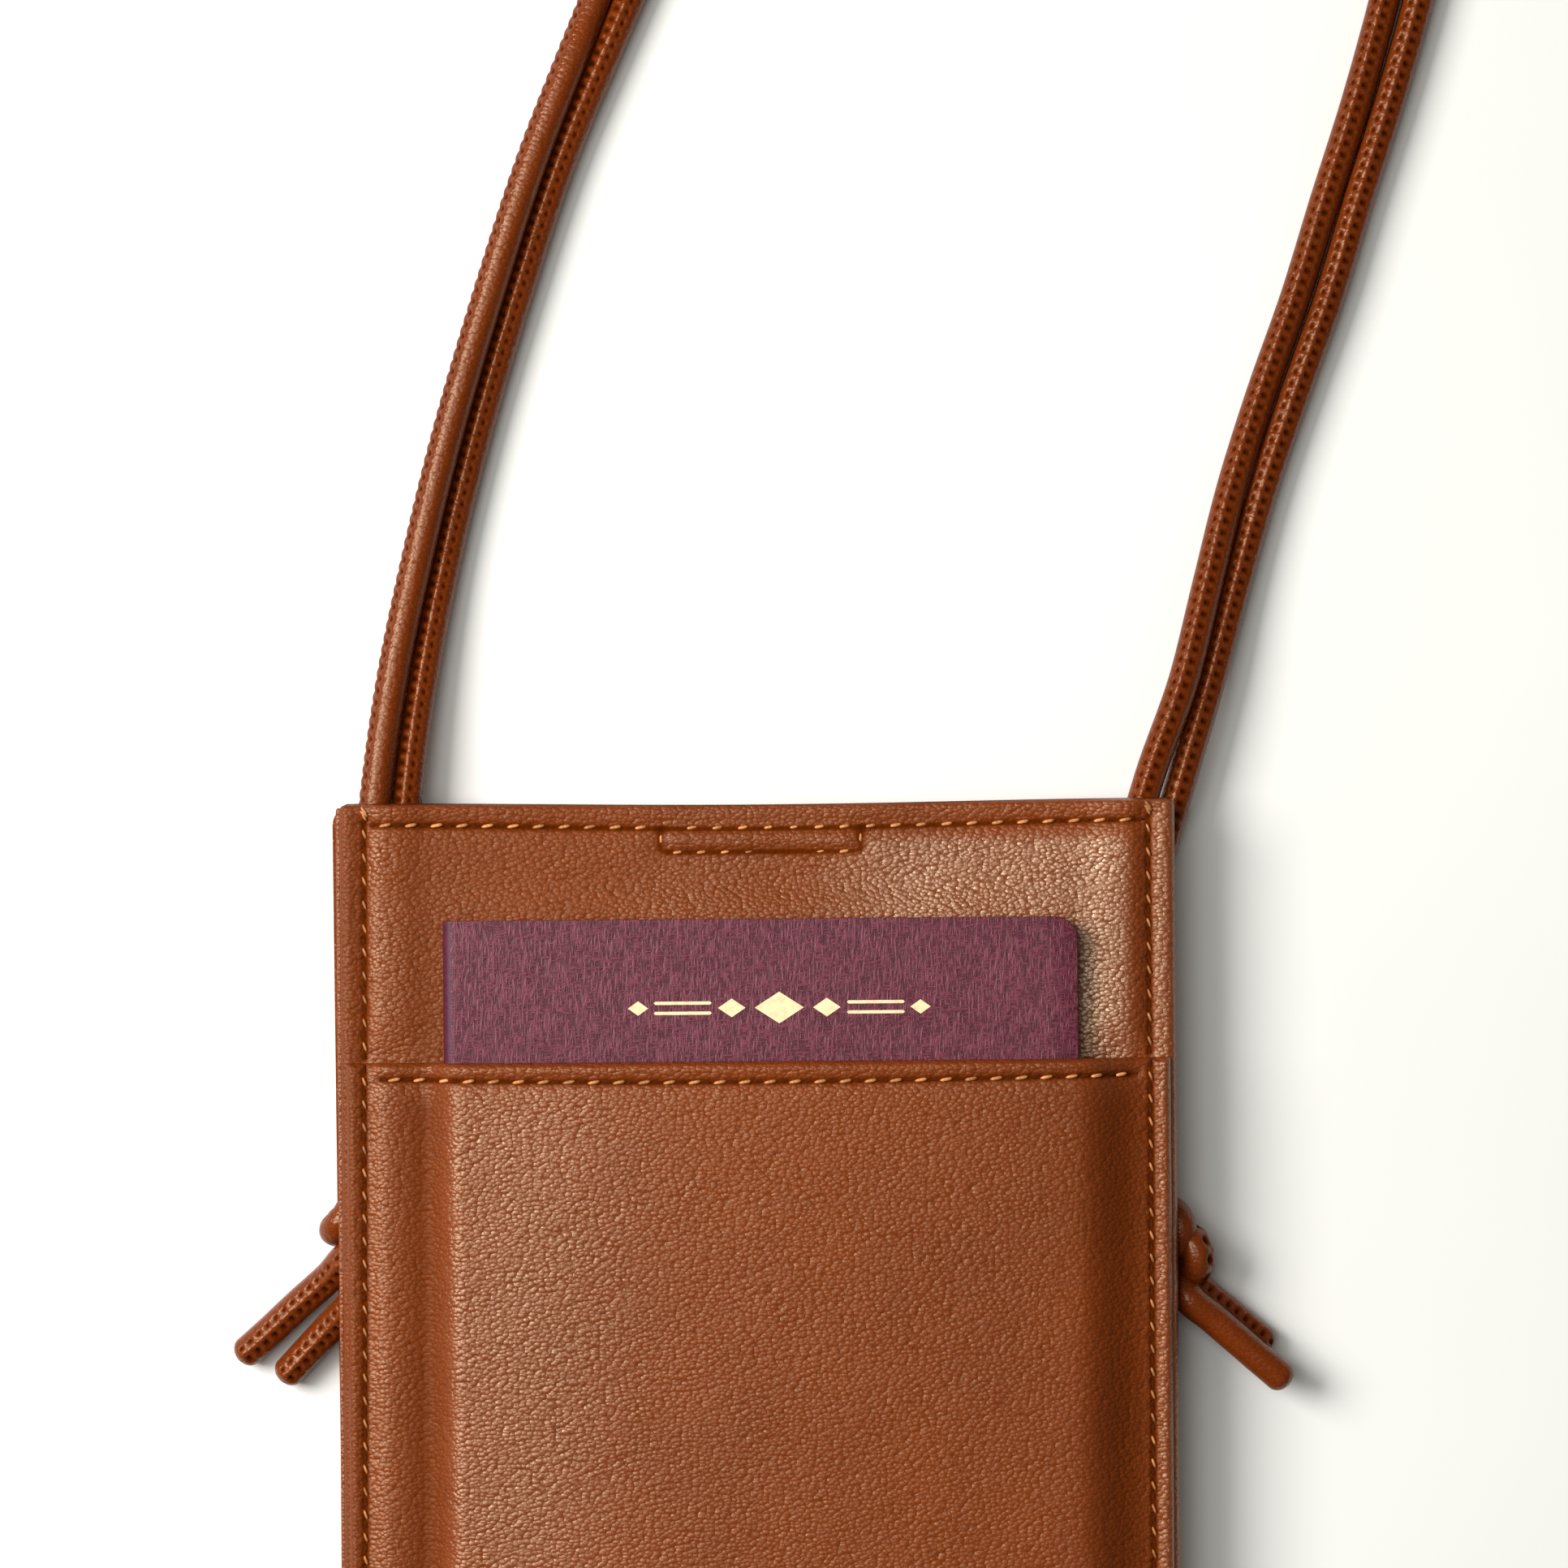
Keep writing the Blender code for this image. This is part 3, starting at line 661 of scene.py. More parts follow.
def coil_route(outer_first):
    """The coil's turns for one cord of the pair; outer_first for the cord that starts on the outside."""
    out = CORD_SPACING / 2 if outer_first else -CORD_SPACING / 2
    low, high = COIL_LAYERS
    swap_end = COIL_TURN_IN + COIL_TURN_SWAP
    total = swap_end + COIL_TURN_OUT
    points = []
    for n in range(round(total / COIL_STEP) + 1):
        turned = min(n * COIL_STEP, total)
        quarter = (turned - COIL_TURN_IN) / (COIL_TURN_SWAP / 4)
        inwards = min(turned / COIL_TURN_IN, 1.0)
        outwards = max((turned - swap_end) / COIL_TURN_OUT, 0.0)
        middle = COIL_WIDE + (COIL_NARROW - COIL_WIDE) * (inwards - outwards)
        climb = eased(quarter if outer_first else quarter - 3)
        cross = eased(quarter - 1 if outer_first else quarter - 2)
        radius = middle + out * (1 - 2 * cross)
        angle = math.radians(COIL_START - turned)
        x = COIL_CENTRE[0] + radius * math.cos(angle)
        y = COIL_CENTRE[1] + radius * math.sin(angle)
        points.append((x, y, low + (high - low) * climb))
    return points


def strap_cords(material):
    """Both cords of the strap, each from its left knot through the coil to its right knot."""
    plans = (
        ("strap_cord_a", LEFT_OUTER, RIGHT_INNER, True, 80, -14),
        ("strap_cord_b", LEFT_INNER, RIGHT_OUTER, False, 8, -8),
    )
    made = []
    for name, start, end, outer_first, first_turn, last_turn in plans:
        line = smooth_line(start + coil_route(outer_first) + end[::-1], SEAM_PITCH / RINGS_PER_STITCH)
        turning = eased((np.linspace(0, 1, len(line)) - 0.3) / 0.4)
        turn = np.radians(first_turn + (last_turn - first_turn) * turning)
        made.append((stitched_tube(name, line, turn, material), line))
    return made


# ---- seams and surfaces of the leather ---------------------------------------------------------------
class Row:
    """A row of stitches on a panel, running across or upright, at a place that may curve."""

    def __init__(self, start, end, place, pitch, upright=False, slant=ROW_SLANT):
        self.start, self.end, self.place, self.pitch = start, end, place, pitch
        self.upright, self.slant = upright, slant
        self.count = max(1, round((end - start) / pitch))
        self.step = (end - start) / self.count

    def gap(self, x, y):
        """Distance of points from the row."""
        run, off = (y, x) if self.upright else (x, y)
        past = np.maximum(np.maximum(self.start - run, run - self.end), 0.0)
        return np.hypot(past, off - self.place(run))

    def relief(self, x, y, deep=ROW_DEEP):
        """How far the row pulls the leather down, deeper at each needle hole."""
        run = y if self.upright else x
        beat = np.cos(2 * math.pi * (run - self.start) / self.step)
        gap = self.gap(x, y)
        wide = np.exp(-((gap / ROW_WIDE) ** 2))
        tight = np.exp(-((gap / ROW_TIGHT) ** 2))
        return -deep * (0.55 * wide * (1 + 0.16 * beat) + 0.45 * tight * (1 + 0.35 * beat))

    def shade(self, x, y):
        """Painted shade in the crease that the row lies in."""
        return 0.75 * np.exp(-((self.gap(x, y) / ROW_SHADE) ** 2))

    def points(self, spots):
        """The x and y of places along the row, counted in stitches."""
        run = self.start + np.asarray(spots) * self.step
        off = self.place(run) * np.ones_like(run)
        return (off, run) if self.upright else (run, off)


def undulation(x, y, seed, size):
    """Soft hollows and swells of about a given size, from -1 to 1."""
    rng = np.random.default_rng(seed)
    total = np.zeros(np.broadcast(x, y).shape)
    for _ in range(7):
        heading = rng.uniform(0, 2 * math.pi)
        length = size * rng.uniform(0.7, 1.6)
        along = x * math.cos(heading) + y * math.sin(heading)
        total += np.cos(2 * math.pi * along / length + rng.uniform(0, 6.3))
    return total / 4


def graded(low, high, coarse, fine, near):
    """Coordinates from low to high, closer together near some places."""
    spots = [low]
    while spots[-1] < high - fine:
        away = min(abs(spots[-1] - place) for place in near)
        spots.append(spots[-1] + fine + (coarse - fine) * float(eased((away - GRADE_REACH) / GRADE_REACH)))
    spots[-1] = high
    return np.array(spots)


def top_dip(x):
    """How far the mouth's edge lies below a straight line, in the middle."""
    return -TOP_CONCAVE * np.cos(math.pi * np.asarray(x) / (2 * HALF)) ** 2


def top_row_place(x):
    """Where the row under the mouth's edge runs."""
    return TOP - ROW_DOWN + 1.3 * top_dip(x)


def pocket_row_place(x):
    """Where the row under the pocket's edge runs."""
    return POCKET_TOP - POCKET_ROW_DOWN - POCKET_ROW_BOW * (1 - (x / RIGHT_ROW_X) ** 2)


def left_row_place(y):
    """The left side row drifts outwards towards the bottom."""
    return LEFT_ROW_X - LEFT_ROW_DRIFT * (TOP - y) / (2 * TOP)


def level(place):
    """A row in a straight line."""
    return lambda run: place + 0.0 * run


def side_rows(low, high):
    """The two side rows between two heights."""
    places = (left_row_place, level(RIGHT_ROW_X))
    return [Row(low, high, place, SIDE_PITCH, True, SIDE_SLANT) for place in places]


def oblong_rows():
    """The rows round the magnet under the mouth's edge: its lower side and its two ends."""
    inset = 0.0006
    left, right = OBLONG_X - OBLONG_HALF, OBLONG_X + OBLONG_HALF
    rows = [Row(left + inset, right - inset, level(OBLONG_LOW), END_PITCH)]
    for x in (left, right):
        rows.append(Row(OBLONG_LOW + 0.0004, TOP - ROW_DOWN - inset, level(x), END_PITCH, True, 0.0))
    return rows


FRONT_TOP_ROW = Row(*FRONT_ROW_ENDS, top_row_place, TOP_PITCH)
OBLONG_ROWS = oblong_rows()
SIDE_ROWS_UPPER = side_rows(POCKET_TOP + 0.0006, TOP - SIDE_ROW_DOWN)
SIDE_ROWS_POCKET = side_rows(SIDE_ROW_LOW, POCKET_TOP - 0.0010)
POCKET_EDGE_ROW = Row(*POCKET_ROW_ENDS, pocket_row_place, TOP_PITCH)
POCKET_LOW_ROW = Row(*POCKET_ROW_ENDS, level(POCKET_LOW_ROW_Y), TOP_PITCH)
FRONT_ROWS = [FRONT_TOP_ROW, *OBLONG_ROWS, *SIDE_ROWS_UPPER]
POCKET_ROWS = [POCKET_EDGE_ROW, POCKET_LOW_ROW, *SIDE_ROWS_POCKET]
BACK_ROWS = [FRONT_TOP_ROW, *OBLONG_ROWS, *side_rows(SIDE_ROW_LOW, TOP - SIDE_ROW_DOWN)]


def band(value, low, low_soft, high, high_soft):
    """1 between two places and 0 outside them, with soft ends inside."""
    return eased((value - low) / low_soft) * eased((high - value) / high_soft)


def hump(value, middle, reach):
    """1 at a place, falling off softly on both sides."""
    return np.exp(-(((value - middle) / reach) ** 2))


def creases(rows, x, y):
    """Painted shade in the creases that rows of stitches lie in."""
    return sum(row.shade(x, y) for row in rows)


def pulled(rows, x, y):
    """How far rows of stitches pull the leather down."""
    return sum(row.relief(x, y) for row in rows)


def front_relief(x, y):
    """Height of the front wall's leather over its flat face."""
    oblong = eased((OBLONG_HALF - np.abs(x - OBLONG_X)) / 0.0012) * eased((y - OBLONG_LOW) / 0.0010)
    oblong = oblong * eased((top_row_place(x) - y) / 0.0010)
    above = eased((y - BOOKLET_TOP - 0.001) / 0.006) * eased((ABOVE_HALF - np.abs(x)) / 0.006)
    past = eased((y - POCKET_TOP) / 0.006)
    side = band(np.abs(x), 0.0448, 0.0058, 0.0548, 0.0026)
    bow = -TOP_BOW * np.maximum(1 - (x / 0.045) ** 2, 0.0) * above
    relief = pulled(FRONT_ROWS, x, y) + OBLONG_RISE * oblong
    relief = relief + above * (-ABOVE_SINK + ABOVE_SWELL * undulation(x, y, 5, 0.040))
    return relief + SIDE_LIFT * side * past + bow + 0.00006 * undulation(x, y, 8, 0.016) * past


def pocket_rise(y):
    """0 at the pocket's bottom seam and 1 above its ramp."""
    return eased((y - POCKET_RAMP_LOW[0]) / (POCKET_RAMP_LOW[1] - POCKET_RAMP_LOW[0]))


def pocket_lift(x, y):
    """0 at the pocket's sewn edges and 1 over the booklet."""
    left = eased((x - POCKET_RAMP_LEFT[0]) / (POCKET_RAMP_LEFT[1] - POCKET_RAMP_LEFT[0]))
    right = eased((POCKET_RAMP_RIGHT[0] - x) / (POCKET_RAMP_RIGHT[0] - POCKET_RAMP_RIGHT[1]))
    return left * right * pocket_rise(y)


def pocket_form(x, y):
    """How far the whole pocket stands off the front wall: it rises over the booklet and is crowned."""
    crown = np.clip(1 - (x / CROWN_HALF) ** 2, 0, 1) * pocket_rise(y)
    rise, peak, fall = POCKET_PUFF_X
    puff = POCKET_PUFF * band(x, rise, peak - rise, fall, fall - peak) * pocket_rise(y)
    return POCKET_RISE * pocket_lift(x, y) + POCKET_CROWN * crown + puff


def rims(x):
    """Painted shade on the margin outside the left side row, and painted sheen on the margin outside the
    right one.
    """
    left = eased((LEFT_ROW_X - 0.0004 - x) / RIM_SOFT)
    return RIM_PAINTED_SHADE * left - RIM_PAINTED_SHEEN * eased((x - RIGHT_ROW_X - 0.0004) / RIM_SOFT)


def pocket_shade_and_sheen(x, y):
    """Painted shade in the hollows on both sides of the booklet, and painted sheen over its left half."""
    hollows = hump(x, *HOLLOW_LEFT) + hump(x, *HOLLOW_RIGHT)
    painted_sheen = hump(x, -0.0330, 0.0130) * eased((x + 0.0440) / 0.0030)
    return (HOLLOW_PAINTED_SHADE * hollows - POCKET_PAINTED_SHEEN * painted_sheen) * eased((POCKET_TOP - y) / 0.008) + rims(x)


def front_shade(x, y):
    """Painted shade in the front's creases and at the left of the mouth, and painted sheen at the right of
    the mouth.
    """
    right = band(x, 0.004, 0.020, 0.0535, 0.003) * eased((TOP - 0.0045 - y) / 0.002)
    left = band(x, -0.0500, 0.003, -0.012, 0.012)
    return creases(FRONT_ROWS, x, y) + FRONT_PAINTED_SHADE * left - FRONT_PAINTED_SHEEN * right + rims(x)


def back_shade(x, y):
    """Painted shade in the back's creases."""
    return creases(BACK_ROWS, x, y)


def pocket_relief(x, y):
    """Height of the pocket's outer leather over its sewn edge."""
    hem = POCKET_HEM * hump(y, POCKET_TOP - 0.0012, 0.0014)
    soft = pocket_lift(x, y) * (0.00016 * undulation(x, y, 11, 0.055) + 0.00004 * undulation(x, y, 12, 0.014))
    return pocket_form(x, y) + hem + soft + pulled(POCKET_ROWS, x, y)


def back_relief(x, y):
    """Depth of the back wall's leather under its flat face, which lies on the floor."""
    return np.minimum(pulled(BACK_ROWS, x, y), 0.0) - 0.00004 * (1 + undulation(x, y, 21, 0.02)) / 2


def panel(name, face, inner, columns, rows, relief, shade, material, corner, lean=0.0):
    """A leather panel with rolled sides and top: face and inner are the levels of its two sides.

    The face takes its relief from a function, and the inner side is flat. corner is how round its upper
    corners are, and lean is how far its left side draws in towards the top."""
    outward = 1.0 if face > inner else -1.0
    thick = abs(face - inner)
    left, right, low = columns[0], columns[-1], rows[0]
    x, y = np.meshgrid(columns, np.concatenate([[low, low + SLIVER], rows[1:]]))
    edge = np.minimum(np.minimum(x - left, right - x), (TOP - y) * EDGE_ROLL / TOP_ROLL)
    drop = thick * (1 - np.sqrt(1 - np.clip(1 - edge / EDGE_ROLL, 0, 1) ** 2))
    z = face + outward * np.maximum(relief(x, y) * eased(edge / EDGE_SMOOTH) - drop, EDGE_LEAST - thick)
    z[0, :], z[-1, :], z[:, 0], z[:, -1] = [inner] * 4
    past = np.clip(y - (TOP - corner), 0, corner)
    inset = corner - np.sqrt(np.maximum(corner**2 - past**2, 0))
    side = eased(1 - np.minimum(x - left, right - x) / SHIFT_REACH)
    high = eased((y - (TOP - SHIFT_REACH)) / SHIFT_REACH)
    leant = lean * eased(1 - (x - left) / SHIFT_REACH) * (y - low) / (TOP - low)
    across = x - np.sign(x) * inset * side - leant
    verts = np.stack([across, y + top_dip(x) * high, z], axis=-1).reshape(-1, 3)
    faces = grid_faces(*x.shape) + [tuple(grid_rim(*x.shape))[::-1]]
    if outward < 0:
        faces = [face[::-1] for face in faces]
    piece = mesh_piece(name, verts, faces, material)
    # painted shade and painted sheen from the panel's shade function
    store_shade_and_sheen(piece, shade(x, y))
    return piece


def stitch_grid(length, width, height):
    """Points of one short thread that dives into the leather at both ends, about its own middle."""
    t = np.linspace(-1, 1, STITCH_RINGS)
    angle = np.linspace(0, 2 * math.pi, STITCH_AROUND, endpoint=False)
    swell = np.sqrt(np.maximum(1 - np.abs(t) ** 3, 0.02))
    along = (t * length / 2)[:, None] * np.ones(STITCH_AROUND)
    across = width / 2 * swell[:, None] * np.cos(angle)[None, :]
    up = height / 2 * swell[:, None] * np.sin(angle)[None, :] - (height * 0.55 * t**4)[:, None]
    return np.stack([along, across, up], axis=-1).reshape(-1, 3)


def placed_grids(shape, centres, headings, ups):
    """Copies of a small shape's points at many places, each turned to its heading and its up direction."""
    headings = unit(headings)
    sides = unit(np.cross(ups, headings))
    axes = np.stack([headings, sides, np.cross(headings, sides)], axis=1)
    return centres[:, None, :] + np.einsum("pk,nkj->npj", shape, axes)


def sewn_row(name, rows, height_at, outward, materials, extra=()):
    """Thread of one or more rows: a stitch each step, with a dark piece of painted shade in the needle crease
    between stitches.
    """
    verts, faces, marks = [], [], []
    one = tube_faces(STITCH_RINGS, STITCH_AROUND)

    def put(shape, x, y, lift, slant, upright, mark):
        x, y = np.asarray(x, dtype=float), np.asarray(y, dtype=float)
        z = height_at(x, y) + outward * lift
        turn = math.pi / 2 + slant if upright else slant
        ahead_x, ahead_y = x + SLOPE_STEP * math.cos(turn), y + SLOPE_STEP * math.sin(turn)
        slope = (height_at(ahead_x, ahead_y) - height_at(x, y)) * 0.5
        headings = np.stack([ahead_x - x, ahead_y - y, slope], axis=-1)
        ups = np.tile([0.0, 0.0, outward], (len(x), 1))
        for grid in placed_grids(shape, np.stack([x, y, z], axis=-1), headings, ups):
            base = len(verts) * len(grid)
            verts.append(grid)
            faces.extend(tuple(base + corner for corner in face) for face in one)
            marks.extend([mark] * len(one))

    # dark pieces of painted shade in the creases between stitches
    crease = stitch_grid(HOLE_LONG, HOLE_WIDE, HOLE_HIGH)
    for row in rows:
        size = SIDE_STITCH if row.slant == SIDE_SLANT else 1.0
        thread = stitch_grid(STITCH_LONG * size, STITCH_WIDE * size, STITCH_HIGH)
        put(thread, *row.points(np.arange(row.count) + 0.5), STITCH_LIFT, row.slant, row.upright, 0)
        put(crease, *row.points(np.arange(row.count + 1)), HOLE_LIFT, row.slant * 0.3, row.upright, 1)
    for x, y, slant, upright in extra:
        put(thread, [x], [y], STITCH_LIFT * 1.6, slant, upright, 0)
    piece = mesh_piece(name, np.concatenate(verts), faces, *materials)
    piece.data.polygons.foreach_set("material_index", marks)
    return piece


def strip_loop(line, thickness, round_points=4):
    """Outline, in a plane, of a strip of even thickness along an open line, with round ends."""
    line = np.array(line, dtype=float)
    heading = unit(np.gradient(line, axis=0))
    normal = np.stack([-heading[:, 1], heading[:, 0]], axis=1)
    half = thickness / 2
    caps = []
    for end, way in ((-1, 1), (0, -1)):
        turn = np.linspace(0, math.pi, round_points + 2)[1:-1, None]
        caps.append(line[end] + half * way * (np.cos(turn) * normal[end] + np.sin(turn) * heading[end]))
    return np.concatenate([line + half * normal, caps[0], (line - half * normal)[::-1], caps[1]])


def swept(name, loops, stations, axis, material):
    """A closed piece whose outline, a loop in a plane, is given at each station along the x or the y axis."""
    count = len(loops[0])
    verts = []
    for loop, station in zip(loops, stations):
        other = np.full(count, station)
        across, up = loop[:, 0], loop[:, 1]
        verts.append(np.stack([other, across, up] if axis == "x" else [across, other, up], axis=1))
    piece = mesh_piece(name, np.concatenate(verts), tube_faces(len(stations), count), material)
    outward_faces(piece)
    return piece


def bend(centre, radius, start, end, steps):
    """Points on an arc in a plane, angles in degrees."""
    angles = np.radians(np.linspace(start, end, steps))
    return [(centre[0] + radius * math.cos(a), centre[1] + radius * math.sin(a)) for a in angles]


def end_stations(low, high, middle, reach=0.0006):
    """Places along a sweep, with a few close together at each end, and the share of thickness at each."""
    near = reach * np.array([0.0, 0.12, 0.35, 0.65, 1.0])
    between = np.linspace(low + reach, high - reach, middle + 2)[1:-1]
    stations = np.concatenate([low + near, between, (high - near)[::-1]])
    left = np.minimum(stations - low, high - stations)
    return stations, np.sqrt(np.maximum(1 - np.clip(1 - left / reach, 0, 1) ** 2, 0.06))


# ---- pieces of the pouch ------------------------------------------------------------------------------
def panel_columns(left, right, coarse):
    """Places across a panel, closer together at its sides and at its side rows."""
    return graded(left, right, coarse, FINE_STEP, [left, right, LEFT_ROW_X, RIGHT_ROW_X])


def wall_panels(material):
    """The outer leather of both walls."""
    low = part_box("front_panel")[0][1]
    near = [TOP, TOP - ROW_DOWN, OBLONG_LOW]
    hidden = np.arange(low, POCKET_TOP - HIDDEN_DOWN, HIDDEN_STEP)
    rows = np.concatenate([hidden, graded(POCKET_TOP - HIDDEN_DOWN, TOP, 0.0006, FINE_STEP, near)])
    columns = panel_columns(FRONT_LEFT, FRONT_RIGHT, 0.0010)
    front = panel(
        "front_panel_leather", FRONT_FACE, FRONT_FACE - LEATHER, columns, rows,
        front_relief, front_shade, material, FRONT_CORNER,
    )
    back = panel(
        "back_panel_leather", 0.0, LEATHER, panel_columns(-HALF, HALF, 0.0010),
        graded(low, TOP, 0.0007, FINE_STEP, near), back_relief, back_shade, material, BACK_CORNER, BACK_LEAN,
    )
    fit(front, "front_wall", "leather", "front_panel")
    fit(back, "back_wall", "leather", "back_panel")


def pocket_leather(material):
    """The pocket's leather: an even thickness that follows the rise, open at the top for the booklet."""
    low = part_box("front_panel")[0][1]
    columns = panel_columns(POCKET_LEFT, POCKET_RIGHT, 0.0009)
    rows = graded(low, POCKET_TOP, 0.0006, FINE_STEP, [POCKET_TOP, POCKET_TOP - POCKET_SEAM, low])
    x, y = np.meshgrid(columns, rows)
    roll = 1 - np.sqrt(1 - np.clip(1 - border_gap(x, y) / POCKET_ROLL, 0, 1) ** 2)
    floor = POCKET_UNDER + pocket_form(x, y)
    top = np.maximum(POCKET_FACE + pocket_relief(x, y) - LEATHER * roll, floor + EDGE_LEAST)
    piece = two_sided("pocket_panel_leather", x, y, top, floor, material)
    # painted shade in the pocket's creases and hollows, and painted sheen over its left half
    store_shade_and_sheen(piece, creases(POCKET_ROWS, x, y) + pocket_shade_and_sheen(x, y))
    fit(piece, "front_wall", "leather", "pocket_panel")


def front_surface(x, y):
    """Level of the front wall's outer leather at a place."""
    return FRONT_FACE + front_relief(x, y)


def pocket_surface(x, y):
    """Level of the pocket's outer leather at a place."""
    return POCKET_FACE + pocket_relief(x, y)


def back_surface(x, y):
    """Level of the back wall's outer leather at a place."""
    return -back_relief(x, y)


def seams(materials, side_materials):
    """The sewing thread of every row, with bar tacks where the side rows meet the mouth's edge."""
    tacks = [(side, TOP - 0.0010 - 0.0004 * n, slant, False)
             for side in (LEFT_ROW_X, RIGHT_ROW_X) for n, slant in enumerate((-0.9, -0.6, -1.1))]
    plans = (
        ("thread_top", [FRONT_TOP_ROW], front_surface, materials),
        ("thread_oblong", OBLONG_ROWS, front_surface, materials),
        ("thread_sides_upper", SIDE_ROWS_UPPER, front_surface, side_materials, tacks),
        ("thread_sides_pocket", SIDE_ROWS_POCKET, pocket_surface, side_materials),
        ("thread_pocket_edge", [POCKET_EDGE_ROW], pocket_surface, materials),
        ("thread_pocket_bottom", [POCKET_LOW_ROW], pocket_surface, materials),
    )
    for name, rows, surface, *rest in plans:
        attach(sewn_row(name, rows, surface, 1.0, *rest), "front_wall")
    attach(sewn_row("thread_back", BACK_ROWS, back_surface, -1.0, materials), "back_wall")


def bottom_fold(material):
    """The leather's half-round turn at the pouch's bottom, from the back wall to the front wall."""
    low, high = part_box("bottom_fold")
    middle = high[2] / 2
    lap = high[1] + FOLD_LAP
    line = [(lap, LEATHER / 2)]
    line += bend((high[1], middle), middle - LEATHER / 2, 270, 90, 25)
    line += [(lap, high[2] - LEATHER / 2)]
    stations, share = end_stations(low[0], high[0], 40)
    loops = [strip_loop(line, LEATHER * s * FOLD_THIN) for s in share]
    piece = swept("bottom_fold_leather", loops, stations, "x", material)
    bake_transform(piece)
    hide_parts("bottom_fold")


def gussets(material):
    """The side gussets, thin leather folded inwards between the walls."""
    for name, side in (("gusset_left", -1), ("gusset_right", 1)):
        low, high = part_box(name)
        inner, outer = sorted((abs(low[0]), abs(high[0])))
        bottom, top = low[2] + GUSSET_LEATHER / 2, high[2] - GUSSET_LEATHER / 2
        stations, share = end_stations(low[1], high[1] - MOUTH_SHORT, 70)
        loops = []
        for y, s in zip(stations, share):
            sway = GUSSET_SWAY * math.sin(y * 90 + side) + GUSSET_RIPPLE * math.sin(y * 233)
            deep = inner + GUSSET_LEATHER / 2 + GUSSET_CLEAR + abs(sway)
            line = [(outer - 0.0001, bottom), (outer - GUSSET_HEM, bottom)]
            line += bend((deep + GUSSET_ROUND, bottom + GUSSET_ROUND), GUSSET_ROUND, 270, 180, 7)
            line += [(deep + GUSSET_PINCH, (bottom + top) / 2)]
            line += bend((deep + GUSSET_ROUND, top - GUSSET_ROUND), GUSSET_ROUND, 180, 90, 7)
            line += [(outer - GUSSET_HEM, top), (outer - 0.0001, top)]
            loops.append(strip_loop([(side * across, up) for across, up in line], GUSSET_LEATHER * s))
        piece = swept(f"{name}_leather", loops, stations, "y", material)
        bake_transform(piece)
        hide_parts(name)


def facings(material):
    """The walls' leather turned in over the mouth's edge and down inside over the lining."""
    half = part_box("front_lining")[1][0] - FACING_SHORT
    plans = (
        ("front_facing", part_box("front_lining")[0][2] - FACING / 2, FRONT_FACE - LEATHER, "front_wall"),
        ("back_facing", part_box("back_lining")[1][2] + FACING / 2, LEATHER, "back_wall"),
    )
    for name, inner, outer, body in plans:
        way = 1 if outer > inner else -1
        stations, share = end_stations(-half, half, 40)
        turn = abs(outer - inner) / 2
        corner = bend((0, 0), turn, -90, 0, 7)
        loops = []
        for x, s in zip(stations, share):
            top = TOP - MOUTH_SHORT + float(top_dip(x))
            line = [(TOP - FACING_DOWN, inner), (TOP - FACING_DOWN / 2, inner)]
            line += [(top - turn + a, inner + way * (turn + b)) for a, b in corner]
            loops.append(strip_loop(line + [(top, outer - way * 0.0001)], FACING * s))
        fit(swept(name, loops, stations, "x", material), body, "leather")


def border_gap(x, y):
    """How far each point of a grid lies in from the grid's border."""
    return np.minimum(np.minimum(x - x[0, 0], x[0, -1] - x), np.minimum(y - y[0, 0], y[-1, 0] - y))


def linings(material):
    """The thin cloth on the inner face of each wall."""
    for name, body in (("back_lining", "back_wall"), ("front_lining", "front_wall")):
        low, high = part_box(name)
        spots = [graded(low[n], high[n], 0.0020, 0.0003, [low[n], high[n]]) for n in (0, 1)]
        x, y = np.meshgrid(*spots)
        edge = border_gap(x, y)
        half = (high[2] - low[2]) / 2 * (0.35 + 0.65 * eased(edge / 0.0006))
        ripple = LINING_RIPPLE * undulation(x, y, 31, 0.018) * eased(edge / 0.002)
        middle = (high[2] + low[2]) / 2 + ripple
        piece = two_sided(f"{name}_cloth", x, y, middle + half, middle - half, material)
        fit(piece, body, "lining", name)


def two_sided(name, x, y, upper, lower, material):
    """A thin closed sheet between two levels over the same grid."""
    top = np.stack([x, y, upper], axis=-1).reshape(-1, 3)
    bottom = np.stack([x, y, lower], axis=-1).reshape(-1, 3)
    faces = grid_faces(*x.shape)
    faces += [tuple(x.size + corner for corner in face[::-1]) for face in faces]
    rim = grid_rim(*x.shape)
    faces += [(a, x.size + a, x.size + b, b) for a, b in zip(rim, rim[1:] + rim[:1])]
    return mesh_piece(name, np.concatenate([top, bottom]), faces, material)


def closed_band(name, path, axis, centre, width, thickness, material):
    """A flat band whose middle follows a closed path in a plane, about a place on the other axis."""
    path = np.array(path)
    heading = unit(np.roll(path, -1, axis=0) - np.roll(path, 1, axis=0))
    normal = np.stack([heading[:, 1], -heading[:, 0]], axis=1)
    wide, thin, cut = width / 2, thickness / 2, thickness * 0.45
    half_loop = [(cut - wide, -thin), (0, -thin), (wide - cut, -thin), (wide, cut - thin), (wide, thin - cut)]
    loop = half_loop + [(-w, -t) for w, t in half_loop]
    verts = []
    for point, out in zip(path, normal):
        for w, t in loop:
            a, b = point + out * t
            verts.append((centre + w, a, b) if axis == "x" else (a, centre + w, b))
    faces = grid_faces(len(path) + 1, len(loop), ring=True)
    faces = [tuple(corner % len(verts) for corner in face) for face in faces]
    piece = mesh_piece(name, verts, faces, material)
    outward_faces(piece)
    return piece


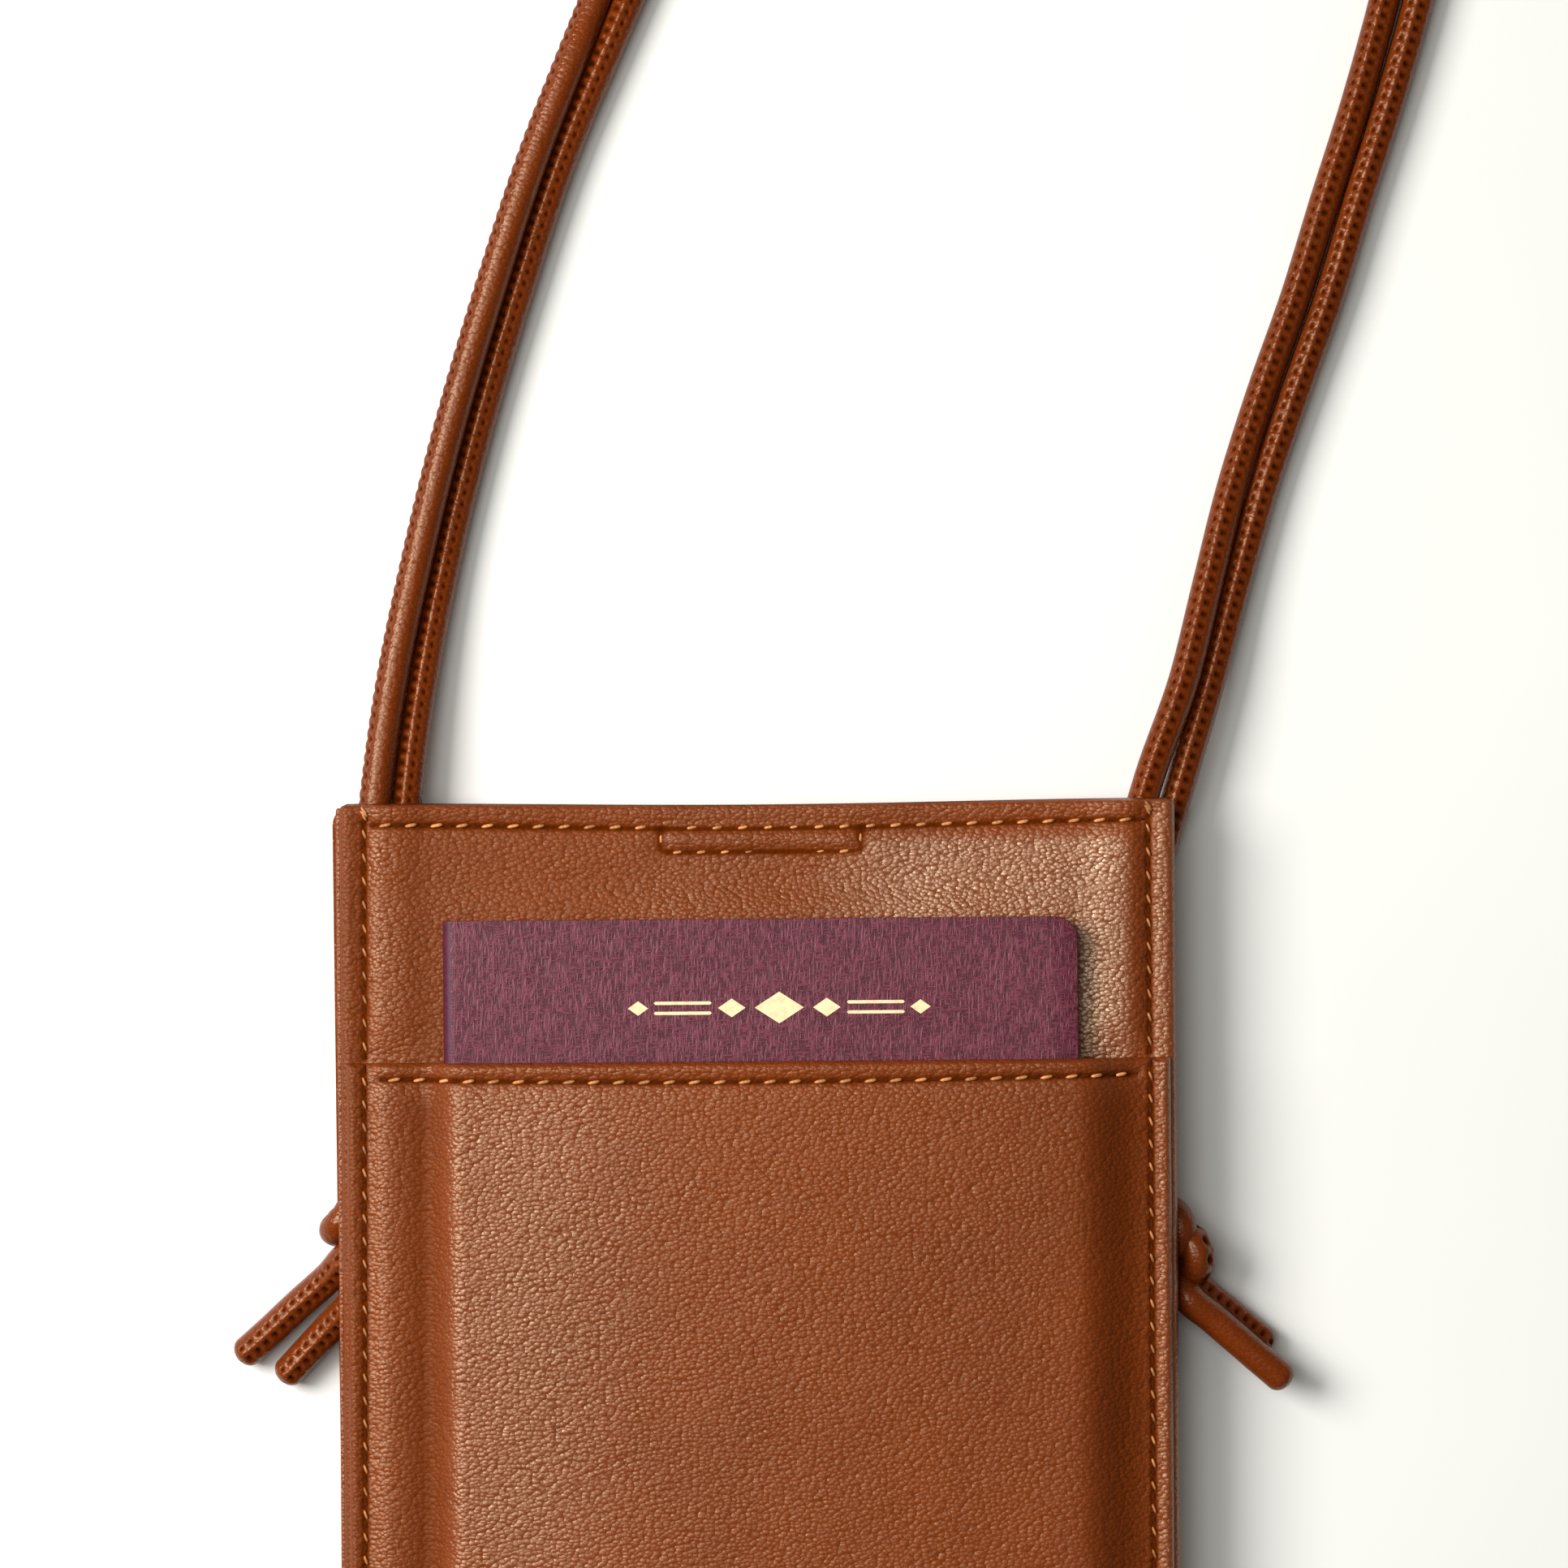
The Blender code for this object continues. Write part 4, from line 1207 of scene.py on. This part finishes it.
def rounded_box_path(low, high, radius, steps=6, straight=6):
    """A closed path round a rectangle with round corners, in a plane."""
    right, top, left, bottom = high[0] - radius, high[1] - radius, low[0] + radius, low[1] + radius
    path = []
    for n, centre in enumerate(((right, top), (left, top), (left, bottom), (right, bottom))):
        arc = bend(centre, radius, 90 * n, 90 * n + 90, steps)
        if path:
            path += map(tuple, np.linspace(path[-1], arc[0], straight)[1:-1])
        path += arc
    return path + [tuple(point) for point in np.linspace(path[-1], path[0], straight)[1:-1]]


def keepers(material):
    """A leather loop in each groove, round the two cords."""
    made = []
    half = KEEPER_BAND / 2
    for name in ("keeper_left", "keeper_right"):
        low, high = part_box(name)
        corners = (low[0] + half, low[2] + half), (high[0] - half, high[2] - half)
        path = rounded_box_path(*corners, KEEPER_ROUND)
        middle, width = (low[1] + high[1]) / 2, high[1] - low[1]
        piece = closed_band(f"{name}_leather", path, "y", middle, width, KEEPER_BAND, material)
        fit(piece, "back_wall", "leather", name)
        made.append(piece)
    return made


def coil_tie(material, cords):
    """A woven tape round the coil, drawn tight against its cords."""
    low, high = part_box("coil_tie")
    half = TAPE / 2
    points = np.concatenate([[tuple(v.co) for v in cord.data.vertices] for cord in cords])
    under = points[(points[:, 0] > low[0]) & (points[:, 0] < high[0]) & (points[:, 1] > low[1])]
    near = under[:, 1].min() - TAPE
    path = rounded_box_path((near, low[2] + half), (high[1] - half, high[2] - half), TAPE_ROUND, 8, 16)
    middle, width = (low[0] + high[0]) / 2, high[0] - low[0]
    piece = closed_band("coil_tie_tape", path, "x", middle, width, TAPE, material)
    fit(piece, "back_wall", "tie", "coil_tie")
    return piece


def corner_cut(y, low, high, corner):
    """How far a round corner draws an edge in, at a place between low and high."""
    past = corner - min(y - low, high - y, corner)
    return corner - math.sqrt(max(corner**2 - past**2, 0.0))


def corner_stations(low, high, corner, steps, middle):
    """Places along an edge between round corners, closer together at the corners."""
    turn = corner * (1 - np.cos(np.linspace(0, math.pi / 2, steps)))
    between = np.linspace(low + corner, high - corner, middle)[1:-1]
    return np.concatenate([low + turn, between, (high - turn)[::-1]])


def booklet_wrap(cover, spine):
    """The booklet's cover, one piece of cloth-covered board wrapped round from front to back."""
    low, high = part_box("booklet_front_cover")
    back_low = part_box("booklet_back_cover")[0]
    spine_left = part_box("booklet_spine")[0][0]
    thick = high[2] - low[2]
    radius = (high[2] - back_low[2]) / 2
    inner = radius - thick / 2
    centre = (spine_left + radius, back_low[2] + radius)
    stations = corner_stations(low[1], high[1], BOOKLET_CORNER, 10, 40)
    loops = []
    for y in stations:
        right = high[0] - min(corner_cut(y, low[1], high[1], BOOKLET_CORNER), BOOKLET_CORNER - 0.0003)
        spots = np.linspace(right, centre[0] + 0.0004, 24)
        line = [(x, centre[1] - inner) for x in spots]
        line += bend(centre, inner, 270, 90, 15)
        line += [(x, centre[1] + inner) for x in spots[::-1]]
        loops.append(strip_loop(line, thick, 3))
    wrap = swept("booklet_cover_wrap", loops, stations, "y", cover)
    wrap.data.materials.append(spine)
    # the strip at the spine takes the cloth painted darker for its shade
    for face in wrap.data.polygons:
        face.material_index = int(face.center.x < spine_left + SPINE_SHOWN)
    fit(wrap, "booklet", "booklet_cover", "booklet_front_cover", "booklet_back_cover", "booklet_spine")


def booklet_leaves(pages):
    """The booklet's leaves, creeping outwards towards the middle of the block."""
    low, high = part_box("booklet_pages")
    corner = BOOKLET_CORNER - PAGE_INSET
    leaf = (high[2] - low[2]) / LEAVES
    shapes = []
    rng = np.random.default_rng(3)
    for n in range(LEAVES):
        creep = LEAF_CREEP * (1 - abs(2 * (n + 0.5) / LEAVES - 1)) + rng.uniform(-0.00004, 0.00004)
        right = high[0] - 0.0003 + creep
        stations = corner_stations(low[1], high[1], corner, 8, 2)
        outline = [(right - corner_cut(y, low[1], high[1], corner), y) for y in stations]
        outline = [(low[0], low[1])] + outline + [(low[0], high[1])]
        shapes.append((outline, low[2] + leaf * (n + 0.5), leaf * 0.43))
    fit(stacked_plates("booklet_leaves", shapes, pages), "booklet", "pages", "booklet_pages")


def stacked_plates(name, shapes, material):
    """Flat plates, each an outline at a level with half a thickness, as one piece."""
    verts, faces = [], []
    for outline, z, half in shapes:
        base, count = len(verts), len(outline)
        verts += [(x, y, z - half) for x, y in outline] + [(x, y, z + half) for x, y in outline]
        faces.append(tuple(base + n for n in range(count))[::-1])
        faces.append(tuple(base + count + n for n in range(count)))
        for n in range(count):
            far = (n + 1) % count
            faces.append((base + n, base + far, base + count + far, base + count + n))
    piece = mesh_piece(name, np.array(verts), faces, material)
    piece.data.set_sharp_from_angle(angle=math.radians(40))
    return piece


def foil_ornament(material):
    """A plain line of lozenges and rules stamped on the cover, where booklets carry their title."""
    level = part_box("booklet_front_cover")[1][2]
    x0, y0 = ORNAMENT_CENTRE
    shapes = []

    def lozenge(x, wide, high):
        outline = [(x - wide, y0), (x, y0 - high), (x + wide, y0), (x, y0 + high)]
        shapes.append((outline, level, FOIL))

    def rule(left, right, y, half):
        outline = [(left, y - half), (right, y - half), (right + half, y)]
        outline += [(right, y + half), (left, y + half), (left - half, y)]
        shapes.append((outline, level, FOIL))

    lozenge(x0, 0.0034, ORNAMENT_HALF_HIGH)
    for side in (-1, 1):
        for away, wide, high in ((0.0066, 0.0019, 0.0013), (0.0196, 0.0014, 0.0010)):
            lozenge(x0 + side * away, wide, high)
        for y in (-RULE_APART, RULE_APART):
            rule(*sorted((x0 + side * 0.0096, x0 + side * 0.0172)), y0 + y, RULE_HALF)
    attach(stacked_plates("booklet_ornament", shapes, material), "booklet")


def knots(material):
    """Each side's knot: both cords wrapped round themselves below the keeper, then out to their tips."""
    made = {}
    for name, (way, end, strands) in KNOTS.items():
        parts = []
        for (start, (middle, half_x, half_y, lean), (first, last), seam), tail in zip(strands, TAILS[name]):
            line = [start]
            for share in np.linspace(0, 1, KNOT_STEPS + 1):
                angle = math.radians(end) - way * (1 - share) * KNOT_TURNS * 2 * math.pi
                x = middle + half_x * math.cos(angle) + lean * math.sin(angle)
                y = first + (last - first) * share + half_y * math.cos(angle)
                line.append((x, y, KNOT_LEVEL + KNOT_HALF_HIGH * math.sin(angle)))
            line = smooth_line(line + tail, SEAM_PITCH / RINGS_PER_STITCH)
            turn = np.full(len(line), math.radians(seam) + end_twist(line))
            parts.append(stitched_tube(name, line, turn, material, KNOT_ROUND, TAIL_ROUND, carried_frames))
        side = name.rsplit("_", 1)[1]
        made[side] = joined(parts, f"{name}_strands")
        tails = [f"strap_tail_{side}_{place}" for place in ("upper", "lower")]
        fit(made[side], "back_wall", "cord_leather", name, *tails)
    return made


def end_twist(line):
    """Angle at the line's end from the carried up direction to the level one."""
    side, up = carried_frames(line)
    _, level_up = level_frames(line[-3:])
    return math.atan2(level_up[-1].dot(side[-1]), level_up[-1].dot(up[-1]))


def joined(parts, name):
    """Several mesh pieces of one material as a single piece."""
    shape = bmesh.new()
    for part in parts:
        shape.from_mesh(part.data)
    mesh = bpy.data.meshes.new(name)
    shape.to_mesh(mesh)
    shape.free()
    mesh.materials.append(parts[0].data.materials[0])
    mesh.shade_smooth()
    for part in parts:
        bpy.data.objects.remove(part, do_unlink=True)
    return linked(bpy.data.objects.new(name, mesh))


# ---- stage ---------------------------------------------------------------------------------------
def make_camera():
    """Camera straight above the pouch, framed like a product shot of its upper part and leads."""
    data = bpy.data.cameras.new("camera")
    data.sensor_width = SENSOR_MM
    data.lens = SENSOR_MM * (CAMERA_PLACE[2] - SHARP_HEIGHT) / VIEW_WIDTH
    camera = linked(bpy.data.objects.new("camera", data))
    camera.location = CAMERA_PLACE
    camera.rotation_euler = (0.0, 0.0, CAMERA_TURN)
    bpy.context.scene.camera = camera


def area_light(name, place, aim, size, power, colour):
    """A square soft light at a place, turned to face a point."""
    data = bpy.data.lights.new(name, "AREA")
    data.shape = "SQUARE"
    data.size = size
    data.energy = power
    data.color = colour
    light = linked(bpy.data.objects.new(name, data))
    light.location = place
    light.rotation_euler = (Vector(aim) - Vector(place)).to_track_quat("-Z", "Y").to_euler()


def make_stage():
    """Pale floor, soft key light from the upper left, and a bright even surround."""
    mesh = bpy.data.meshes.new("floor")
    reach = FLOOR_REACH
    corners = [(-reach, -reach, 0), (reach, -reach, 0), (reach, reach, 0), (-reach, reach, 0)]
    mesh.from_pydata(corners, [], [(0, 1, 2, 3)])
    mesh.materials.append(floor_material())
    floor = linked(bpy.data.objects.new("floor", mesh))
    floor.location.z = -FLOOR_DOWN
    world = bpy.data.worlds.new("surround")
    world.use_nodes = True
    background = world.node_tree.nodes["Background"]
    background.inputs["Color"].default_value = (1.0, 0.98, 0.89, 1.0)
    background.inputs["Strength"].default_value = SURROUND
    bpy.context.scene.world = world
    area_light("key", KEY_PLACE, LIGHT_AIM, KEY_SIZE, KEY_POWER, (1.0, 0.985, 0.96))
    area_light("window", WINDOW_PLACE, LIGHT_AIM, WINDOW_SIZE, WINDOW_POWER, (1.0, 1.0, 0.98))
    bpy.context.scene.view_settings.view_transform = "Standard"


def finish_cad_nodes():
    """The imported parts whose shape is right, in their finished materials."""
    plans = (
        (board_material(), ("back_stiffener", "front_stiffener")),
        (magnet_material(), ("back_magnet", "front_magnet")),
    )
    for material, names in plans:
        for name in names:
            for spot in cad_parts[name].material_slots:
                spot.material = material


make_camera()
make_stage()

cord_leather = leather("cord_leather", (0.150, 0.023, 0.001), 0.38, 0.30, 0.0006, 0.00007)
skin = leather("pouch_leather", (0.182, 0.031, 0.002), 0.58, 0.40)
(cord_a, line_a), (cord_b, line_b) = strap_cords(cord_leather)
knot_pieces = knots(cord_leather)
keeper_pieces = keepers(skin)
tie = coil_tie(tape_material(), (cord_a, cord_b))
tied = [*keeper_pieces, *knot_pieces.values()]
for piece, line, nodes, also in (
    (cord_a, line_a, ("strap_cord_left_outer", "strap_coil", "strap_cord_right_inner"), [*tied, tie]),
    (cord_b, line_b, ("strap_cord_left_inner", "strap_cord_right_outer"), []),
):
    fit(piece, "back_wall", "cord_leather", *nodes)

wall_panels(skin)
pocket_leather(skin)
bottom_fold(skin)
gussets(skin)
facings(skin)
linings(lining_material())
# dark pieces of painted shade for the creases and needle holes
holes = hole_shade_material()
bright_thread = thread_material("thread_tan", (0.70, 0.28, 0.090))
# a darker thread for the side rows
side_thread = thread_material("thread_tan_darker", (0.50, 0.185, 0.060))
seams((bright_thread, holes), (side_thread, holes))
booklet_wrap(cover_material(), spine_shade_material())
booklet_leaves(pages_material())
foil_ornament(foil_material())
finish_cad_nodes()
